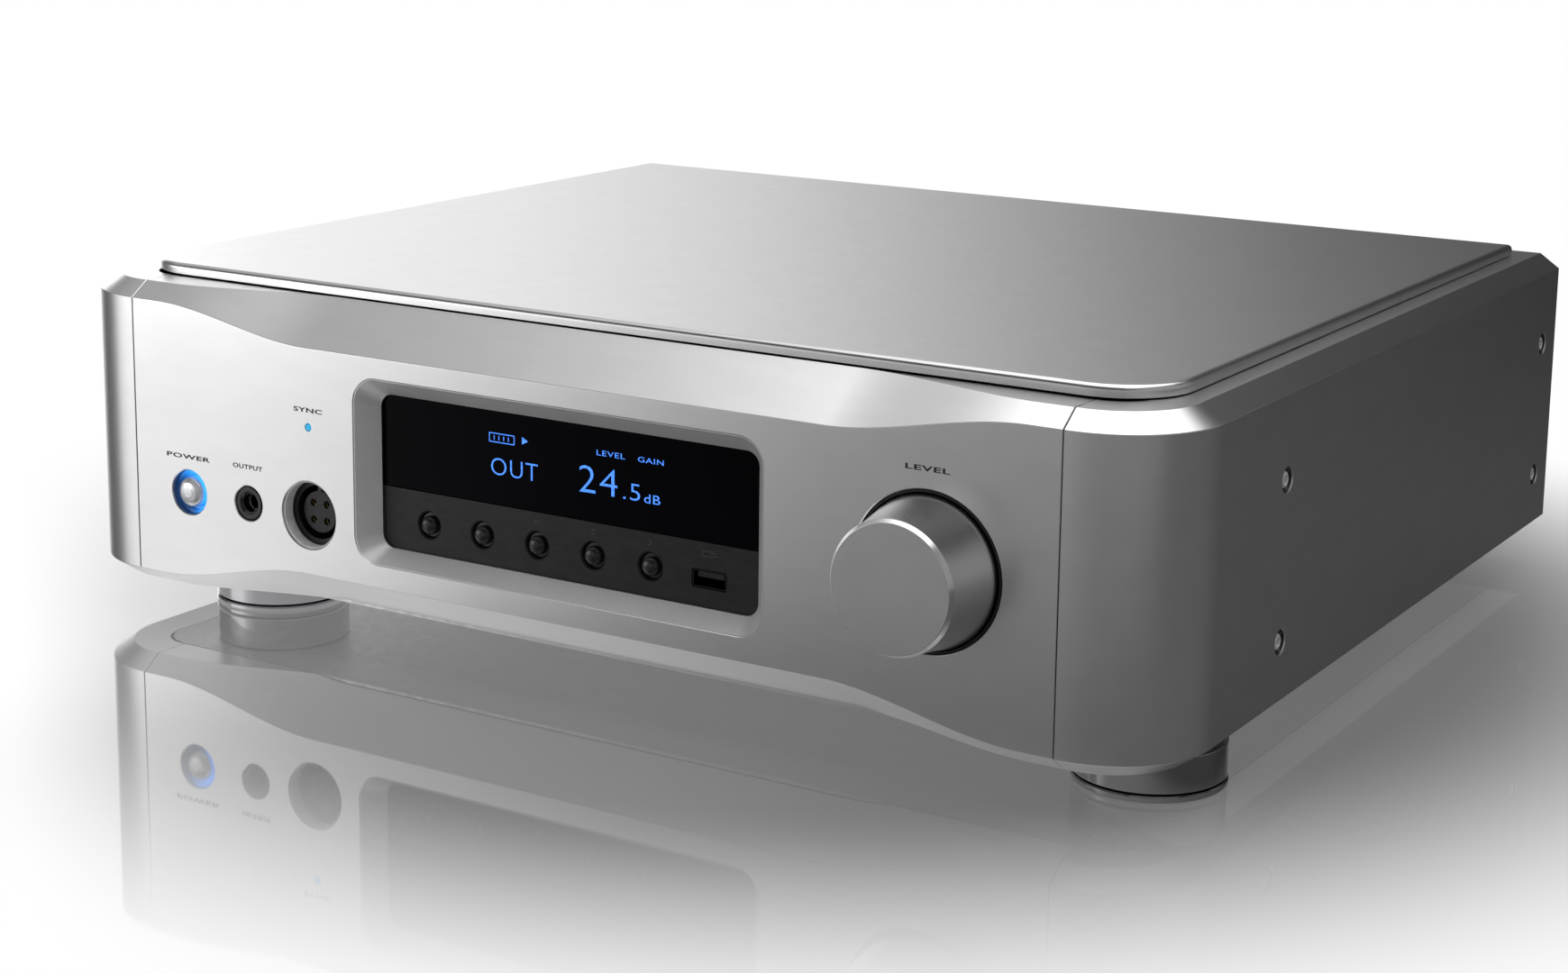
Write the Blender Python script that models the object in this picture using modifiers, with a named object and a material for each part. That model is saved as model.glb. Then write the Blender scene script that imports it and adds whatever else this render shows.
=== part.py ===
"""Full-width headphone amplifier: a machined aluminium case with a large volume knob.

Frame: +X to the right seen from the front, -Y out of the front panel, +Z up.
The origin is under the middle of the case, on the surface that the feet stand on.
"""
import math

import bmesh
import bpy
from mathutils import Matrix, Vector

MM = 0.001

# Overall case
HALF_WIDTH = 222.5 * MM
FACE_Y = -180.0 * MM
REAR_Y = 193.5 * MM
CASE_BOTTOM = 14.7 * MM
RIM_TOP = 126.5 * MM
PLATE_TOP = 131.0 * MM
GAP = 0.3 * MM

# Front panel: a slope joins its face to the rim, and the face is narrower in the middle
CHAMFER_RISE = 5.4 * MM
CHAMFER_SLOPE = 0.7
CHAMFER_DEPTH = CHAMFER_RISE / CHAMFER_SLOPE
PANEL_DEPTH = 21.2 * MM
PANEL_HALF = 186.5 * MM
NARROW_FROM = 175.0 * MM
NARROW_TO = 105.0 * MM
NARROW_STATIONS = 8
FACE_LOW = CASE_BOTTOM + CHAMFER_RISE
FACE_HIGH = RIM_TOP - CHAMFER_RISE
FULL_SLOPE_DEPTH = PANEL_DEPTH - GAP
TOP_DROP = CHAMFER_SLOPE * FULL_SLOPE_DEPTH - CHAMFER_RISE
BOTTOM_LIFT = 10.5 * MM

# Side panels: a channel section carried round the front corner
CORNER_RADIUS = 34.5 * MM
CORNER_STEPS = 8
WEB = 10.0 * MM
FLANGE = 11.3 * MM
INNER_FACE = HALF_WIDTH - PANEL_DEPTH

# Top plate
PLATE_HALF = 207.5 * MM
PLATE_FRONT = FACE_Y + PANEL_DEPTH + GAP
PLATE_REAR = 180.0 * MM
PLATE_CORNER = 25.0 * MM
PLATE_EDGE = 2.0 * MM

# Sheet and inner structure
SHEET = 2.5 * MM
SHEET_CORNER = 14.5 * MM
REAR_SHEET = 3.0 * MM
RAIL_LOW = 122.0 * MM
RAIL_FRONT = 172.0 * MM
INNER_WALL = 2.1 * MM

# Display recess, measured as depths behind the face
RECESS_HALF = 83.5 * MM
RECESS_Z = (38.8 * MM, 104.4 * MM)
RECESS_CORNER = 9.5 * MM
WINDOW_HALF = 77.4 * MM
WINDOW_Z = (43.3 * MM, 98.0 * MM)
WINDOW_CORNER = 5.0 * MM
RECESS_DEPTH = 8.0 * MM
POCKET_MARGIN = 3.4 * MM
POCKET_DEPTH = 8.6 * MM
PANE = 2.5 * MM
SPLIT_Z = 65.1 * MM

# Controls on the front
KEY_Z = 53.4 * MM
KEY_PITCH = 23.1 * MM
KEY_X = [KEY_PITCH * step for step in (-2.5, -1.5, -0.5, 0.5, 1.5)]
KEY_HOLE = 4.75 * MM
USB_X = KEY_PITCH * 2.5
USB_Z = 52.6 * MM
POWER = (-161.2 * MM, 52.1 * MM)
POWER_HOLE = 8.25 * MM
PHONES = (-132.7 * MM, 52.1 * MM)
PHONES_HOLE = 6.4 * MM
PHONES_BORE = 3.3 * MM
BALANCED = (-104.5 * MM, 51.9 * MM)
BALANCED_HOLE = 12.2 * MM
LAMP = (-104.0 * MM, 83.7 * MM)
LAMP_HOLE = 1.4 * MM
KNOB = (142.0 * MM, 70.8 * MM)
KNOB_FRONT = 22.5 * MM
KNOB_FACE_RADIUS = 20.3 * MM
KNOB_RIM_RADIUS = 21.3 * MM
KNOB_BASE_RADIUS = 24.3 * MM
KNOB_SEAT = 25.9 * MM
KNOB_SEAT_DEPTH = 9.0 * MM
SHAFT = 3.0 * MM
SHAFT_BORE = 3.3 * MM
BUSHING = 5.2 * MM

# Side screws
SCREW_Y = (-92.0 * MM, 177.0 * MM)
SCREW_Z = (40.0 * MM, 93.0 * MM)
SCREW_COUNTERBORE = 4.2 * MM
SCREW_COUNTERBORE_DEPTH = 4.5 * MM
SCREW_HEAD = 3.9 * MM
SCREW_SHANK = 2.0 * MM
SCREW_CLEARANCE = 2.4 * MM

# Feet: the front pair stands wide, the rear pair further inboard
FOOT_SPOTS = {
    "front_left": (-166.0 * MM, -126.0 * MM),
    "front_right": (194.0 * MM, -126.0 * MM),
    "rear_left": (-150.0 * MM, 138.0 * MM),
    "rear_right": (150.0 * MM, 138.0 * MM),
}
FOOT_RADIUS = 24.7 * MM
FOOT_BASE_RADIUS = 25.0 * MM
FOOT_BASE_HEIGHT = 2.2 * MM

# Rear sockets, as places on the rear panel
MAINS = (-165.0 * MM, 46.0 * MM)
XLR_X = {"left": 168.0 * MM, "right": 132.0 * MM}
XLR_Z = 86.0 * MM
RCA_X = XLR_X
RCA_Z = 48.0 * MM
NETWORK = (86.0 * MM, 60.0 * MM)
USB_B = (58.0 * MM, 60.0 * MM)
OPTICAL = (34.0 * MM, 60.0 * MM)
COAXIAL = (12.0 * MM, 60.0 * MM)
CLOCK_IN = (-14.0 * MM, 60.0 * MM)
SOCKET_REACH = 9.0 * MM

# Inner assemblies
BOARD = 1.6 * MM
BOARD_Z = 25.5 * MM
POST = 3.0 * MM
TRANSFORMER = (-120.0 * MM, -62.0 * MM)
TRANSFORMER_RADIUS = 55.0 * MM
TRANSFORMER_HOLE = 17.0 * MM
TRANSFORMER_TOP = 66.0 * MM
POWER_BOARD = ((-190.0 * MM, 12.0 * MM), (-60.0 * MM, 160.0 * MM))
DIGITAL_BOARD = ((-48.0 * MM, 20.0 * MM), (98.0 * MM, 160.0 * MM))
AMP_BOARD = ((108.0 * MM, -110.0 * MM), (192.0 * MM, 160.0 * MM))

# Sides of a turned piece, of a small one and of a very small one
SEGMENTS = 24
SMALL_SEGMENTS = 14
TINY_SEGMENTS = 12
POST_SEGMENTS = 8
SHARP_ANGLE = math.radians(35)
TINY_RADIUS = 2.0 * MM
REACH = 5.0 * MM

for leftover in list(bpy.data.objects):
    bpy.data.objects.remove(leftover, do_unlink=True)


def new_collection(name):
    collection = bpy.data.collections.new(name)
    bpy.context.scene.collection.children.link(collection)
    return collection


PARTS = new_collection("headphone_amplifier")
CUTTERS = new_collection("cutters")


def finish(name, colour, roughness, metallic=0.0, glow=0.0):
    """A plain material with one colour."""
    material = bpy.data.materials.new(name)
    material.use_nodes = True
    shader = material.node_tree.nodes["Principled BSDF"]
    shader.inputs["Base Color"].default_value = (*colour, 1.0)
    shader.inputs["Roughness"].default_value = roughness
    shader.inputs["Metallic"].default_value = metallic
    shader.inputs["Emission Color"].default_value = (*colour, 1.0)
    shader.inputs["Emission Strength"].default_value = glow
    return material


SATIN = finish("satin_aluminium", (0.72, 0.72, 0.74), 0.38, 1.0)
KNOB_METAL = finish("turned_aluminium", (0.70, 0.70, 0.72), 0.30, 1.0)
STEEL = finish("inner_steel", (0.45, 0.45, 0.46), 0.45, 1.0)
CHROME = finish("chrome", (0.80, 0.80, 0.82), 0.08, 1.0)
BLACK_GLASS = finish("black_glass", (0.01, 0.01, 0.015), 0.05)
DARK_STRIP = finish("dark_strip", (0.05, 0.05, 0.055), 0.4)
BLACK_PLASTIC = finish("black_plastic", (0.02, 0.02, 0.02), 0.35)
BLUE_GUIDE = finish("blue_light_guide", (0.02, 0.25, 0.9), 0.3, glow=1.0)
CYAN_LAMP = finish("cyan_lamp", (0.05, 0.6, 0.9), 0.3, glow=1.0)
GOLD = finish("gold_plate", (0.85, 0.62, 0.25), 0.2, 1.0)
CIRCUIT = finish("circuit_board", (0.03, 0.18, 0.08), 0.5)
WINDING = finish("transformer_wrap", (0.05, 0.05, 0.06), 0.6)


def place(position, direction=(0.0, 0.0, 1.0)):
    """The matrix that puts a piece at a position with its own +Z along a direction."""
    turn = Vector((0.0, 0.0, 1.0)).rotation_difference(Vector(direction)).to_matrix()
    return Matrix.Translation(position) @ turn.to_4x4()


def on_front(x, z):
    return place((x, FACE_Y, z), (0.0, -1.0, 0.0))


def on_rear(x, z):
    return place((x, REAR_Y, z), (0.0, 1.0, 0.0))


def on_side(side, y, z):
    return place((side * HALF_WIDTH, y, z), (side, 0.0, 0.0))


def add_mesh(name, bm, material=None, matrix=None, smooth=True):
    """A new object: a sub-part when it has a material, a hidden cutter when it has none."""
    mesh = bpy.data.meshes.new(name)
    bm.to_mesh(mesh)
    bm.free()
    if smooth:
        mesh.shade_smooth()
        mesh.set_sharp_from_angle(angle=SHARP_ANGLE)
    piece = bpy.data.objects.new(name, mesh)
    piece.matrix_world = matrix or Matrix.Identity(4)
    if material:
        mesh.materials.append(material)
        PARTS.objects.link(piece)
    else:
        piece.hide_render = True
        piece.display_type = "WIRE"
        CUTTERS.objects.link(piece)
    return piece


def combine(piece, other, operation="DIFFERENCE"):
    step = piece.modifiers.new(other.name, "BOOLEAN")
    step.operation = operation
    step.solver = "EXACT"
    step.object = other


def block(name, low, high, material=None, axis=None, radius=0.0, steps=4, chosen=None):
    """A box between two corners, with the edges along one axis rounded if wanted."""
    low = Vector(low)
    high = Vector(high)
    bm = bmesh.new()
    bmesh.ops.create_cube(bm, size=1.0)
    bmesh.ops.scale(bm, vec=high - low, verts=bm.verts)
    if axis is not None:
        edges = []
        for edge in bm.edges:
            middle = (edge.verts[0].co + edge.verts[1].co) / 2
            along = edge.verts[0].co - edge.verts[1].co
            if abs(along[axis]) > along.length * 0.9 and (chosen is None or chosen(middle)):
                edges.append(edge)
        bmesh.ops.bevel(bm, geom=edges, offset=radius, segments=steps, profile=0.5, affect="EDGES")
    return add_mesh(name, bm, material, place((low + high) / 2), smooth=axis is not None)


def cylinder(name, radius, low, high, matrix, material=None, segments=SMALL_SEGMENTS):
    """A plain cylinder between two heights on a piece's own axis."""
    bm = bmesh.new()
    bmesh.ops.create_cone(
        bm, cap_ends=True, segments=segments, radius1=radius, radius2=radius, depth=high - low
    )
    bmesh.ops.translate(bm, vec=(0.0, 0.0, (low + high) / 2), verts=bm.verts)
    return add_mesh(name, bm, material, matrix)


def turned(name, profile, matrix, material=None, ring=False, segments=SEGMENTS):
    """A lathe piece: (radius, height) points from the top, down the outside, to the bottom."""
    bm = bmesh.new()
    points = [bm.verts.new((radius, 0.0, height)) for radius, height in profile]
    for first, second in zip(points, points[1:]):
        bm.edges.new((first, second))
    if ring:
        bm.edges.new((points[-1], points[0]))
    piece = add_mesh(name, bm, material, matrix, smooth=False)
    screw = piece.modifiers.new("Turn", "SCREW")
    screw.axis = "Z"
    screw.steps = segments
    screw.render_steps = segments
    screw.use_merge_vertices = True
    screw.merge_threshold = 0.00001
    screw.use_smooth_shade = True
    return piece


def loft(name, sections, material=None):
    """A skin through a row of loops with equally many points, capped at both ends."""
    bm = bmesh.new()
    loops = [[bm.verts.new(point) for point in section] for section in sections]
    count = len(loops[0])
    for near, far in zip(loops, loops[1:]):
        for step in range(count):
            after = (step + 1) % count
            bm.faces.new((near[step], near[after], far[after], far[step]))
    bm.faces.new(loops[0])
    bm.faces.new(loops[-1])
    bmesh.ops.recalc_face_normals(bm, faces=bm.faces)
    return add_mesh(name, bm, material)


def sheet_from_outline(name, outline, thickness, matrix, material):
    """A flat plate cut to an outline, centred on its own XY plane."""
    curve = bpy.data.curves.new(name, "CURVE")
    curve.dimensions = "2D"
    curve.fill_mode = "BOTH"
    curve.extrude = thickness / 2
    spline = curve.splines.new("POLY")
    spline.points.add(len(outline) - 1)
    for point, (x, y) in zip(spline.points, outline):
        point.co = (x, y, 0.0, 1.0)
    spline.use_cyclic_u = True
    guide = bpy.data.objects.new(name + "_outline", curve)
    CUTTERS.objects.link(guide)
    bpy.context.view_layer.update()
    shape = bpy.data.meshes.new_from_object(guide.evaluated_get(bpy.context.evaluated_depsgraph_get()))
    bpy.data.objects.remove(guide, do_unlink=True)
    bm = bmesh.new()
    bm.from_mesh(shape)
    bpy.data.meshes.remove(shape)
    bmesh.ops.remove_doubles(bm, verts=bm.verts, dist=0.00001)
    bmesh.ops.recalc_face_normals(bm, faces=bm.faces)
    return add_mesh(name, bm, material, matrix, smooth=False)


def rounded_outline(half, low, high, radius, depth, steps=4):
    """A rounded rectangle parallel to the front face, at a depth behind it."""
    corners = (
        (half - radius, high - radius, 0.0),
        (-half + radius, high - radius, 90.0),
        (-half + radius, low + radius, 180.0),
        (half - radius, low + radius, 270.0),
    )
    points = []
    for x, z, start in corners:
        for step in range(steps + 1):
            angle = math.radians(start + 90.0 * step / steps)
            across = x + radius * math.cos(angle)
            points.append(Vector((across, FACE_Y + depth, z + radius * math.sin(angle))))
    return points


def narrowing(x):
    """0 at the ends of the front panel, 1 in its middle, with a smooth step between."""
    share = (NARROW_FROM - abs(x)) / (NARROW_FROM - NARROW_TO)
    share = min(max(share, 0.0), 1.0)
    return share * share * (3.0 - 2.0 * share)


def panel_section(x):
    """The front panel's outline across the panel, as seen from its end."""
    face_high = FACE_HIGH - TOP_DROP * narrowing(x)
    face_low = FACE_LOW + BOTTOM_LIFT * narrowing(x)
    top_depth = (RIM_TOP - face_high) / CHAMFER_SLOPE
    bottom_depth = min((face_low - CASE_BOTTOM) / CHAMFER_SLOPE, FULL_SLOPE_DEPTH)
    underside = face_low - CHAMFER_SLOPE * bottom_depth
    outline = (
        (0.0, face_low),
        (0.0, face_high),
        (top_depth, RIM_TOP),
        (PANEL_DEPTH, RIM_TOP),
        (PANEL_DEPTH, underside),
        (bottom_depth, underside),
    )
    return [Vector((x, FACE_Y + depth, z)) for depth, z in outline]


def panel_stations():
    bend = [
        NARROW_TO + (NARROW_FROM - NARROW_TO) * step / NARROW_STATIONS
        for step in range(NARROW_STATIONS + 1)
    ]
    right = bend + [PANEL_HALF]
    return [-x for x in reversed(right)] + right


def front_panel():
    panel = loft("front_panel", [panel_section(x) for x in panel_stations()], SATIN)
    flare = (RECESS_HALF - WINDOW_HALF) / RECESS_DEPTH
    low_flare = (WINDOW_Z[0] - RECESS_Z[0]) / RECESS_DEPTH
    high_flare = (RECESS_Z[1] - WINDOW_Z[1]) / RECESS_DEPTH
    mouth = rounded_outline(
        RECESS_HALF + flare * REACH,
        RECESS_Z[0] - low_flare * REACH,
        RECESS_Z[1] + high_flare * REACH,
        RECESS_CORNER,
        -REACH,
    )
    window = (WINDOW_HALF, *WINDOW_Z, WINDOW_CORNER)
    throat = [rounded_outline(*window, depth) for depth in (RECESS_DEPTH, RECESS_DEPTH + REACH)]
    combine(panel, loft("cut_recess", [mouth, *throat]))
    pocket = block(
        "cut_pocket",
        (-WINDOW_HALF - POCKET_MARGIN, FACE_Y + POCKET_DEPTH, WINDOW_Z[0] - POCKET_MARGIN),
        (WINDOW_HALF + POCKET_MARGIN, FACE_Y + PANEL_DEPTH + REACH, WINDOW_Z[1] + POCKET_MARGIN),
    )
    combine(panel, pocket)
    through = -PANEL_DEPTH - REACH
    holes = (
        ("cut_power", POWER, POWER_HOLE, through),
        ("cut_phones", PHONES, PHONES_HOLE, through),
        ("cut_balanced", BALANCED, BALANCED_HOLE, through),
        ("cut_lamp", LAMP, LAMP_HOLE, through),
        ("cut_shaft", KNOB, BUSHING + GAP, through),
        ("cut_knob_seat", KNOB, KNOB_SEAT, -KNOB_SEAT_DEPTH),
    )
    for name, spot, radius, bottom in holes:
        segments = TINY_SEGMENTS if radius < TINY_RADIUS else SEGMENTS
        combine(panel, cylinder(name, radius, bottom, REACH, on_front(*spot), segments=segments))


def channel_section(point, inward):
    """The side panel's section at a point of its outline, with depths taken inwards."""
    outline = (
        (0.0, FACE_LOW),
        (0.0, FACE_HIGH),
        (CHAMFER_DEPTH, RIM_TOP),
        (PANEL_DEPTH, RIM_TOP),
        (PANEL_DEPTH, RIM_TOP - FLANGE),
        (WEB, RIM_TOP - FLANGE),
        (WEB, CASE_BOTTOM + FLANGE),
        (PANEL_DEPTH, CASE_BOTTOM + FLANGE),
        (PANEL_DEPTH, CASE_BOTTOM),
        (CHAMFER_DEPTH, CASE_BOTTOM),
    )
    return [Vector((*(point + inward * depth), z)) for depth, z in outline]


def side_panel(side, name):
    """One side panel; side is -1 on the left and 1 on the right."""
    centre = Vector((side * (HALF_WIDTH - CORNER_RADIUS), FACE_Y + CORNER_RADIUS))
    front = Vector((0.0, -1.0))
    outward = Vector((side, 0.0))
    seam = Vector((side * (PANEL_HALF + GAP), FACE_Y))
    sections = [channel_section(seam, -front)]
    for step in range(CORNER_STEPS + 1):
        angle = math.radians(90.0 * step / CORNER_STEPS)
        normal = front * math.cos(angle) + outward * math.sin(angle)
        sections.append(channel_section(centre + normal * CORNER_RADIUS, -normal))
    sections.append(channel_section(Vector((side * HALF_WIDTH, REAR_Y)), -outward))
    panel = loft(name, sections, SATIN)
    number = 0
    for y in SCREW_Y:
        for z in SCREW_Z:
            number += 1
            spot = on_side(side, y, z)
            label = f"cut_{name}_{number}"
            bore = cylinder(label, SCREW_COUNTERBORE, -SCREW_COUNTERBORE_DEPTH, REACH, spot)
            combine(panel, bore)
            label += "_hole"
            bottom = -WEB - REACH
            hole = cylinder(label, SCREW_CLEARANCE, bottom, 0.0, spot, segments=TINY_SEGMENTS)
            combine(panel, hole)


def inner_wall(side, name):
    outer = side * (INNER_FACE - GAP)
    inner = side * (INNER_FACE - GAP - INNER_WALL)
    low = (min(outer, inner), FACE_Y + CORNER_RADIUS + GAP, CASE_BOTTOM + SHEET + GAP)
    high = (max(outer, inner), REAR_Y - REAR_SHEET - GAP, RAIL_LOW - GAP)
    wall = block(name, low, high, STEEL)
    depth = PANEL_DEPTH + REACH
    for index, y in enumerate(SCREW_Y):
        for step, z in enumerate(SCREW_Z):
            label = f"cut_{name}_{index}{step}"
            spot = on_side(side, y, z)
            hole = cylinder(label, SCREW_CLEARANCE, -depth, -WEB, spot, segments=TINY_SEGMENTS)
            combine(wall, hole)


def side_screws(side, name):
    """Socket-head screws that hold a side panel on its inner wall."""
    head_top = -0.6 * MM
    head_bottom = -SCREW_COUNTERBORE_DEPTH + GAP
    end = -PANEL_DEPTH - INNER_WALL - 1.5 * MM
    socket = 1.6 * MM
    socket_depth = 2.0 * MM
    profile = (
        (0.0, head_top - socket_depth),
        (socket, head_top - socket_depth),
        (socket, head_top),
        (SCREW_HEAD - 0.5 * MM, head_top),
        (SCREW_HEAD, head_top - 0.5 * MM),
        (SCREW_HEAD, head_bottom),
        (SCREW_SHANK, head_bottom),
        (SCREW_SHANK, end),
        (0.0, end),
    )
    number = 0
    for y in SCREW_Y:
        for z in SCREW_Z:
            number += 1
            turned(f"{name}_{number}", profile, on_side(side, y, z), CHROME, segments=TINY_SEGMENTS)


def top_plate():
    """A slab whose front corners are round and whose top edge is rounded over."""
    plate = block(
        "top_plate",
        (-PLATE_HALF, PLATE_FRONT, RIM_TOP + GAP),
        (PLATE_HALF, PLATE_REAR, PLATE_TOP),
        SATIN,
        axis=2,
        radius=PLATE_CORNER,
        steps=6,
        chosen=lambda middle: middle.y < 0.0,
    )
    edge = plate.modifiers.new("Edge", "BEVEL")
    edge.width = PLATE_EDGE
    edge.segments = 2
    edge.limit_method = "WEIGHT"
    weights = plate.data.attributes.new("bevel_weight_edge", "FLOAT", "EDGE")
    top = max(vertex.co.z for vertex in plate.data.vertices)
    for line in plate.data.edges:
        ends = [plate.data.vertices[index].co.z for index in line.vertices]
        weights.data[line.index].value = 1.0 if min(ends) > top - PLATE_EDGE / 10 else 0.0


def board_posts(board):
    """Where a board's four posts stand."""
    (left, front), (right, rear) = board
    inset = 8.0 * MM
    return [(x, y) for x in (left + inset, right - inset) for y in (front + inset, rear - inset)]


def bottom_plate():
    plate = block(
        "bottom_plate",
        (-INNER_FACE + GAP, PLATE_FRONT, CASE_BOTTOM),
        (INNER_FACE - GAP, REAR_Y, CASE_BOTTOM + SHEET),
        STEEL,
        axis=2,
        radius=SHEET_CORNER,
        chosen=lambda middle: middle.y < 0.0,
    )
    number = 0
    for board in (POWER_BOARD, DIGITAL_BOARD, AMP_BOARD):
        for x, y in board_posts(board):
            number += 1
            spot = place((x, y, 0.0))
            low = CASE_BOTTOM + SHEET / 2
            post = cylinder(f"join_post_{number}", POST, low, BOARD_Z - GAP, spot, segments=POST_SEGMENTS)
            combine(plate, post, "UNION")


def rear_panel():
    """The back sheet: its wide middle runs into the channels of the side panels."""
    wide = HALF_WIDTH - WEB - GAP
    narrow = INNER_FACE - GAP
    low = CASE_BOTTOM + SHEET + GAP
    high = RAIL_LOW - GAP
    step_low = CASE_BOTTOM + FLANGE + GAP
    step_high = RIM_TOP - FLANGE - GAP
    lead_in = 3.0 * MM
    half_outline = [(narrow, low), (narrow, step_low), (wide, step_low + lead_in)]
    half_outline += [(wide, step_high - lead_in), (narrow, step_high), (narrow, high)]
    outline = half_outline + [(-x, z) for x, z in reversed(half_outline)]
    middle = REAR_Y - REAR_SHEET / 2
    upright = Matrix.Translation((0.0, middle, 0.0)) @ Matrix.Rotation(math.radians(90), 4, "X")
    panel = sheet_from_outline("rear_panel", outline, REAR_SHEET, upright, SATIN)
    windows = (
        ("mains", MAINS, (28.6, 21.6)),
        ("network", NETWORK, (16.6, 14.1)),
        ("usb_b", USB_B, (12.6, 11.6)),
        ("optical", OPTICAL, (10.6, 10.6)),
    )
    for label, (x, z), (width, height) in windows:
        half = Vector((width * MM / 2, REACH, height * MM / 2))
        centre = Vector((x, middle, z))
        combine(panel, block("cut_" + label, centre - half, centre + half))
    rounds = [("coaxial", COAXIAL, 5.4 * MM), ("clock_in", CLOCK_IN, 6.4 * MM)]
    for side in ("left", "right"):
        rounds.append(("xlr_" + side, (XLR_X[side], XLR_Z), 11.9 * MM))
        rounds.append(("rca_" + side, (RCA_X[side], RCA_Z), 5.4 * MM))
    for label, spot, radius in rounds:
        spot = on_rear(*spot)
        low = -REAR_SHEET - REACH
        combine(panel, cylinder("cut_" + label, radius, low, REACH, spot, segments=SEGMENTS))


def case():
    front_panel()
    for side, name in ((-1, "left"), (1, "right")):
        side_panel(side, name + "_side_panel")
        inner_wall(side, name + "_inner_wall")
        side_screws(side, "side_screw_" + name)
    top_plate()
    bottom_plate()
    rear_panel()
    rail_low = (-INNER_FACE + GAP, RAIL_FRONT, RAIL_LOW)
    block("rear_top_rail", rail_low, (INNER_FACE - GAP, REAR_Y, RIM_TOP), SATIN)


def feet():
    """Each foot is a polished drum that stands on its own base disc."""
    drum_low = FOOT_BASE_HEIGHT + GAP
    drum_high = CASE_BOTTOM - GAP
    edge = 0.8 * MM
    drum = (
        (0.0, drum_high),
        (FOOT_RADIUS, drum_high),
        (FOOT_RADIUS, drum_low + edge),
        (FOOT_RADIUS - edge, drum_low),
        (0.0, drum_low),
    )
    disc = (
        (0.0, FOOT_BASE_HEIGHT),
        (FOOT_BASE_RADIUS - edge, FOOT_BASE_HEIGHT),
        (FOOT_BASE_RADIUS, FOOT_BASE_HEIGHT - edge),
        (FOOT_BASE_RADIUS, edge / 2),
        (FOOT_BASE_RADIUS - edge / 2, 0.0),
        (0.0, 0.0),
    )
    for corner, (x, y) in FOOT_SPOTS.items():
        turned(corner + "_foot", drum, place((x, y, 0.0)), CHROME)
        turned(corner + "_foot_base", disc, place((x, y, 0.0)), CHROME)


def display():
    """The glass pane, the key strip under it and the two boards behind them."""
    half = WINDOW_HALF + POCKET_MARGIN - GAP
    low = WINDOW_Z[0] - POCKET_MARGIN + GAP
    high = WINDOW_Z[1] + POCKET_MARGIN - GAP
    front = FACE_Y + POCKET_DEPTH + GAP
    back = front + PANE
    window_low = (-half, front, SPLIT_Z + GAP / 2)
    block("display_window", window_low, (half, back, high), BLACK_GLASS)
    strip_high = (half, back, SPLIT_Z - GAP / 2)
    strip = block("button_panel", (-half, front, low), strip_high, DARK_STRIP)
    for number, x in enumerate(KEY_X, 1):
        hole_low = -POCKET_DEPTH - PANE - REACH
        spot = on_front(x, KEY_Z)
        combine(strip, cylinder(f"cut_key_{number}", KEY_HOLE, hole_low, REACH, spot))
    slot = Vector((6.8 * MM, REACH, 3.2 * MM))
    centre = Vector((USB_X, front, USB_Z))
    combine(strip, block("cut_usb_slot", centre - slot, centre + slot))

    module_low = (-74.0 * MM, back + GAP, 68.5 * MM)
    module_high = (74.0 * MM, back + 5.0 * MM, 98.5 * MM)
    block("display_module", module_low, module_high, CIRCUIT)


def control_board():
    """The board behind the key strip, with one small switch behind each key."""
    front = FACE_Y + 17.3 * MM
    board_low = (-72.0 * MM, front, 41.5 * MM)
    board = block("control_board", board_low, (46.0 * MM, front + BOARD, 63.5 * MM), CIRCUIT)
    for number, x in enumerate(KEY_X, 1):
        switch = Vector((3.0 * MM, 1.1 * MM, 3.0 * MM))
        centre = Vector((x, front, KEY_Z))
        body = block(f"join_key_switch_{number}", centre - switch, centre + switch)
        combine(board, body, "UNION")


def menu_buttons():
    """Domed keys, each with a collar that keeps it behind the strip."""
    edge = -8.7 * MM
    collar = -POCKET_DEPTH - PANE - 2 * GAP
    profile = (
        (0.0, -7.1 * MM),
        (1.3 * MM, -7.25 * MM),
        (2.3 * MM, -7.7 * MM),
        (3.0 * MM, -8.4 * MM),
        (3.3 * MM, edge - 0.4 * MM),
        (3.3 * MM, -10.4 * MM),
        (4.3 * MM, -10.4 * MM),
        (4.3 * MM, collar),
        (5.4 * MM, collar),
        (5.4 * MM, collar - 0.8 * MM),
        (1.5 * MM, collar - 0.8 * MM),
        (1.5 * MM, -15.0 * MM),
        (0.0, -15.0 * MM),
    )
    for number, x in enumerate(KEY_X, 1):
        spot = on_front(x, KEY_Z)
        turned(f"menu_button_{number}", profile, spot, BLACK_PLASTIC, segments=SMALL_SEGMENTS)


def usb_port():
    half = Vector((6.5 * MM, 0.0, 2.9 * MM))
    hole = Vector((6.1 * MM, 0.0, 2.5 * MM))
    front = Vector((USB_X, FACE_Y + 9.1 * MM, USB_Z))
    back = Vector((USB_X, FACE_Y + 21.0 * MM, USB_Z))
    floor = Vector((USB_X, FACE_Y + 20.0 * MM, USB_Z))
    port = block("usb_a_port", front - half, back + half, STEEL)
    mouth = Vector((0.0, -REACH, 0.0))
    combine(port, block("cut_usb_a", front + mouth - hole, floor + hole))


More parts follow.
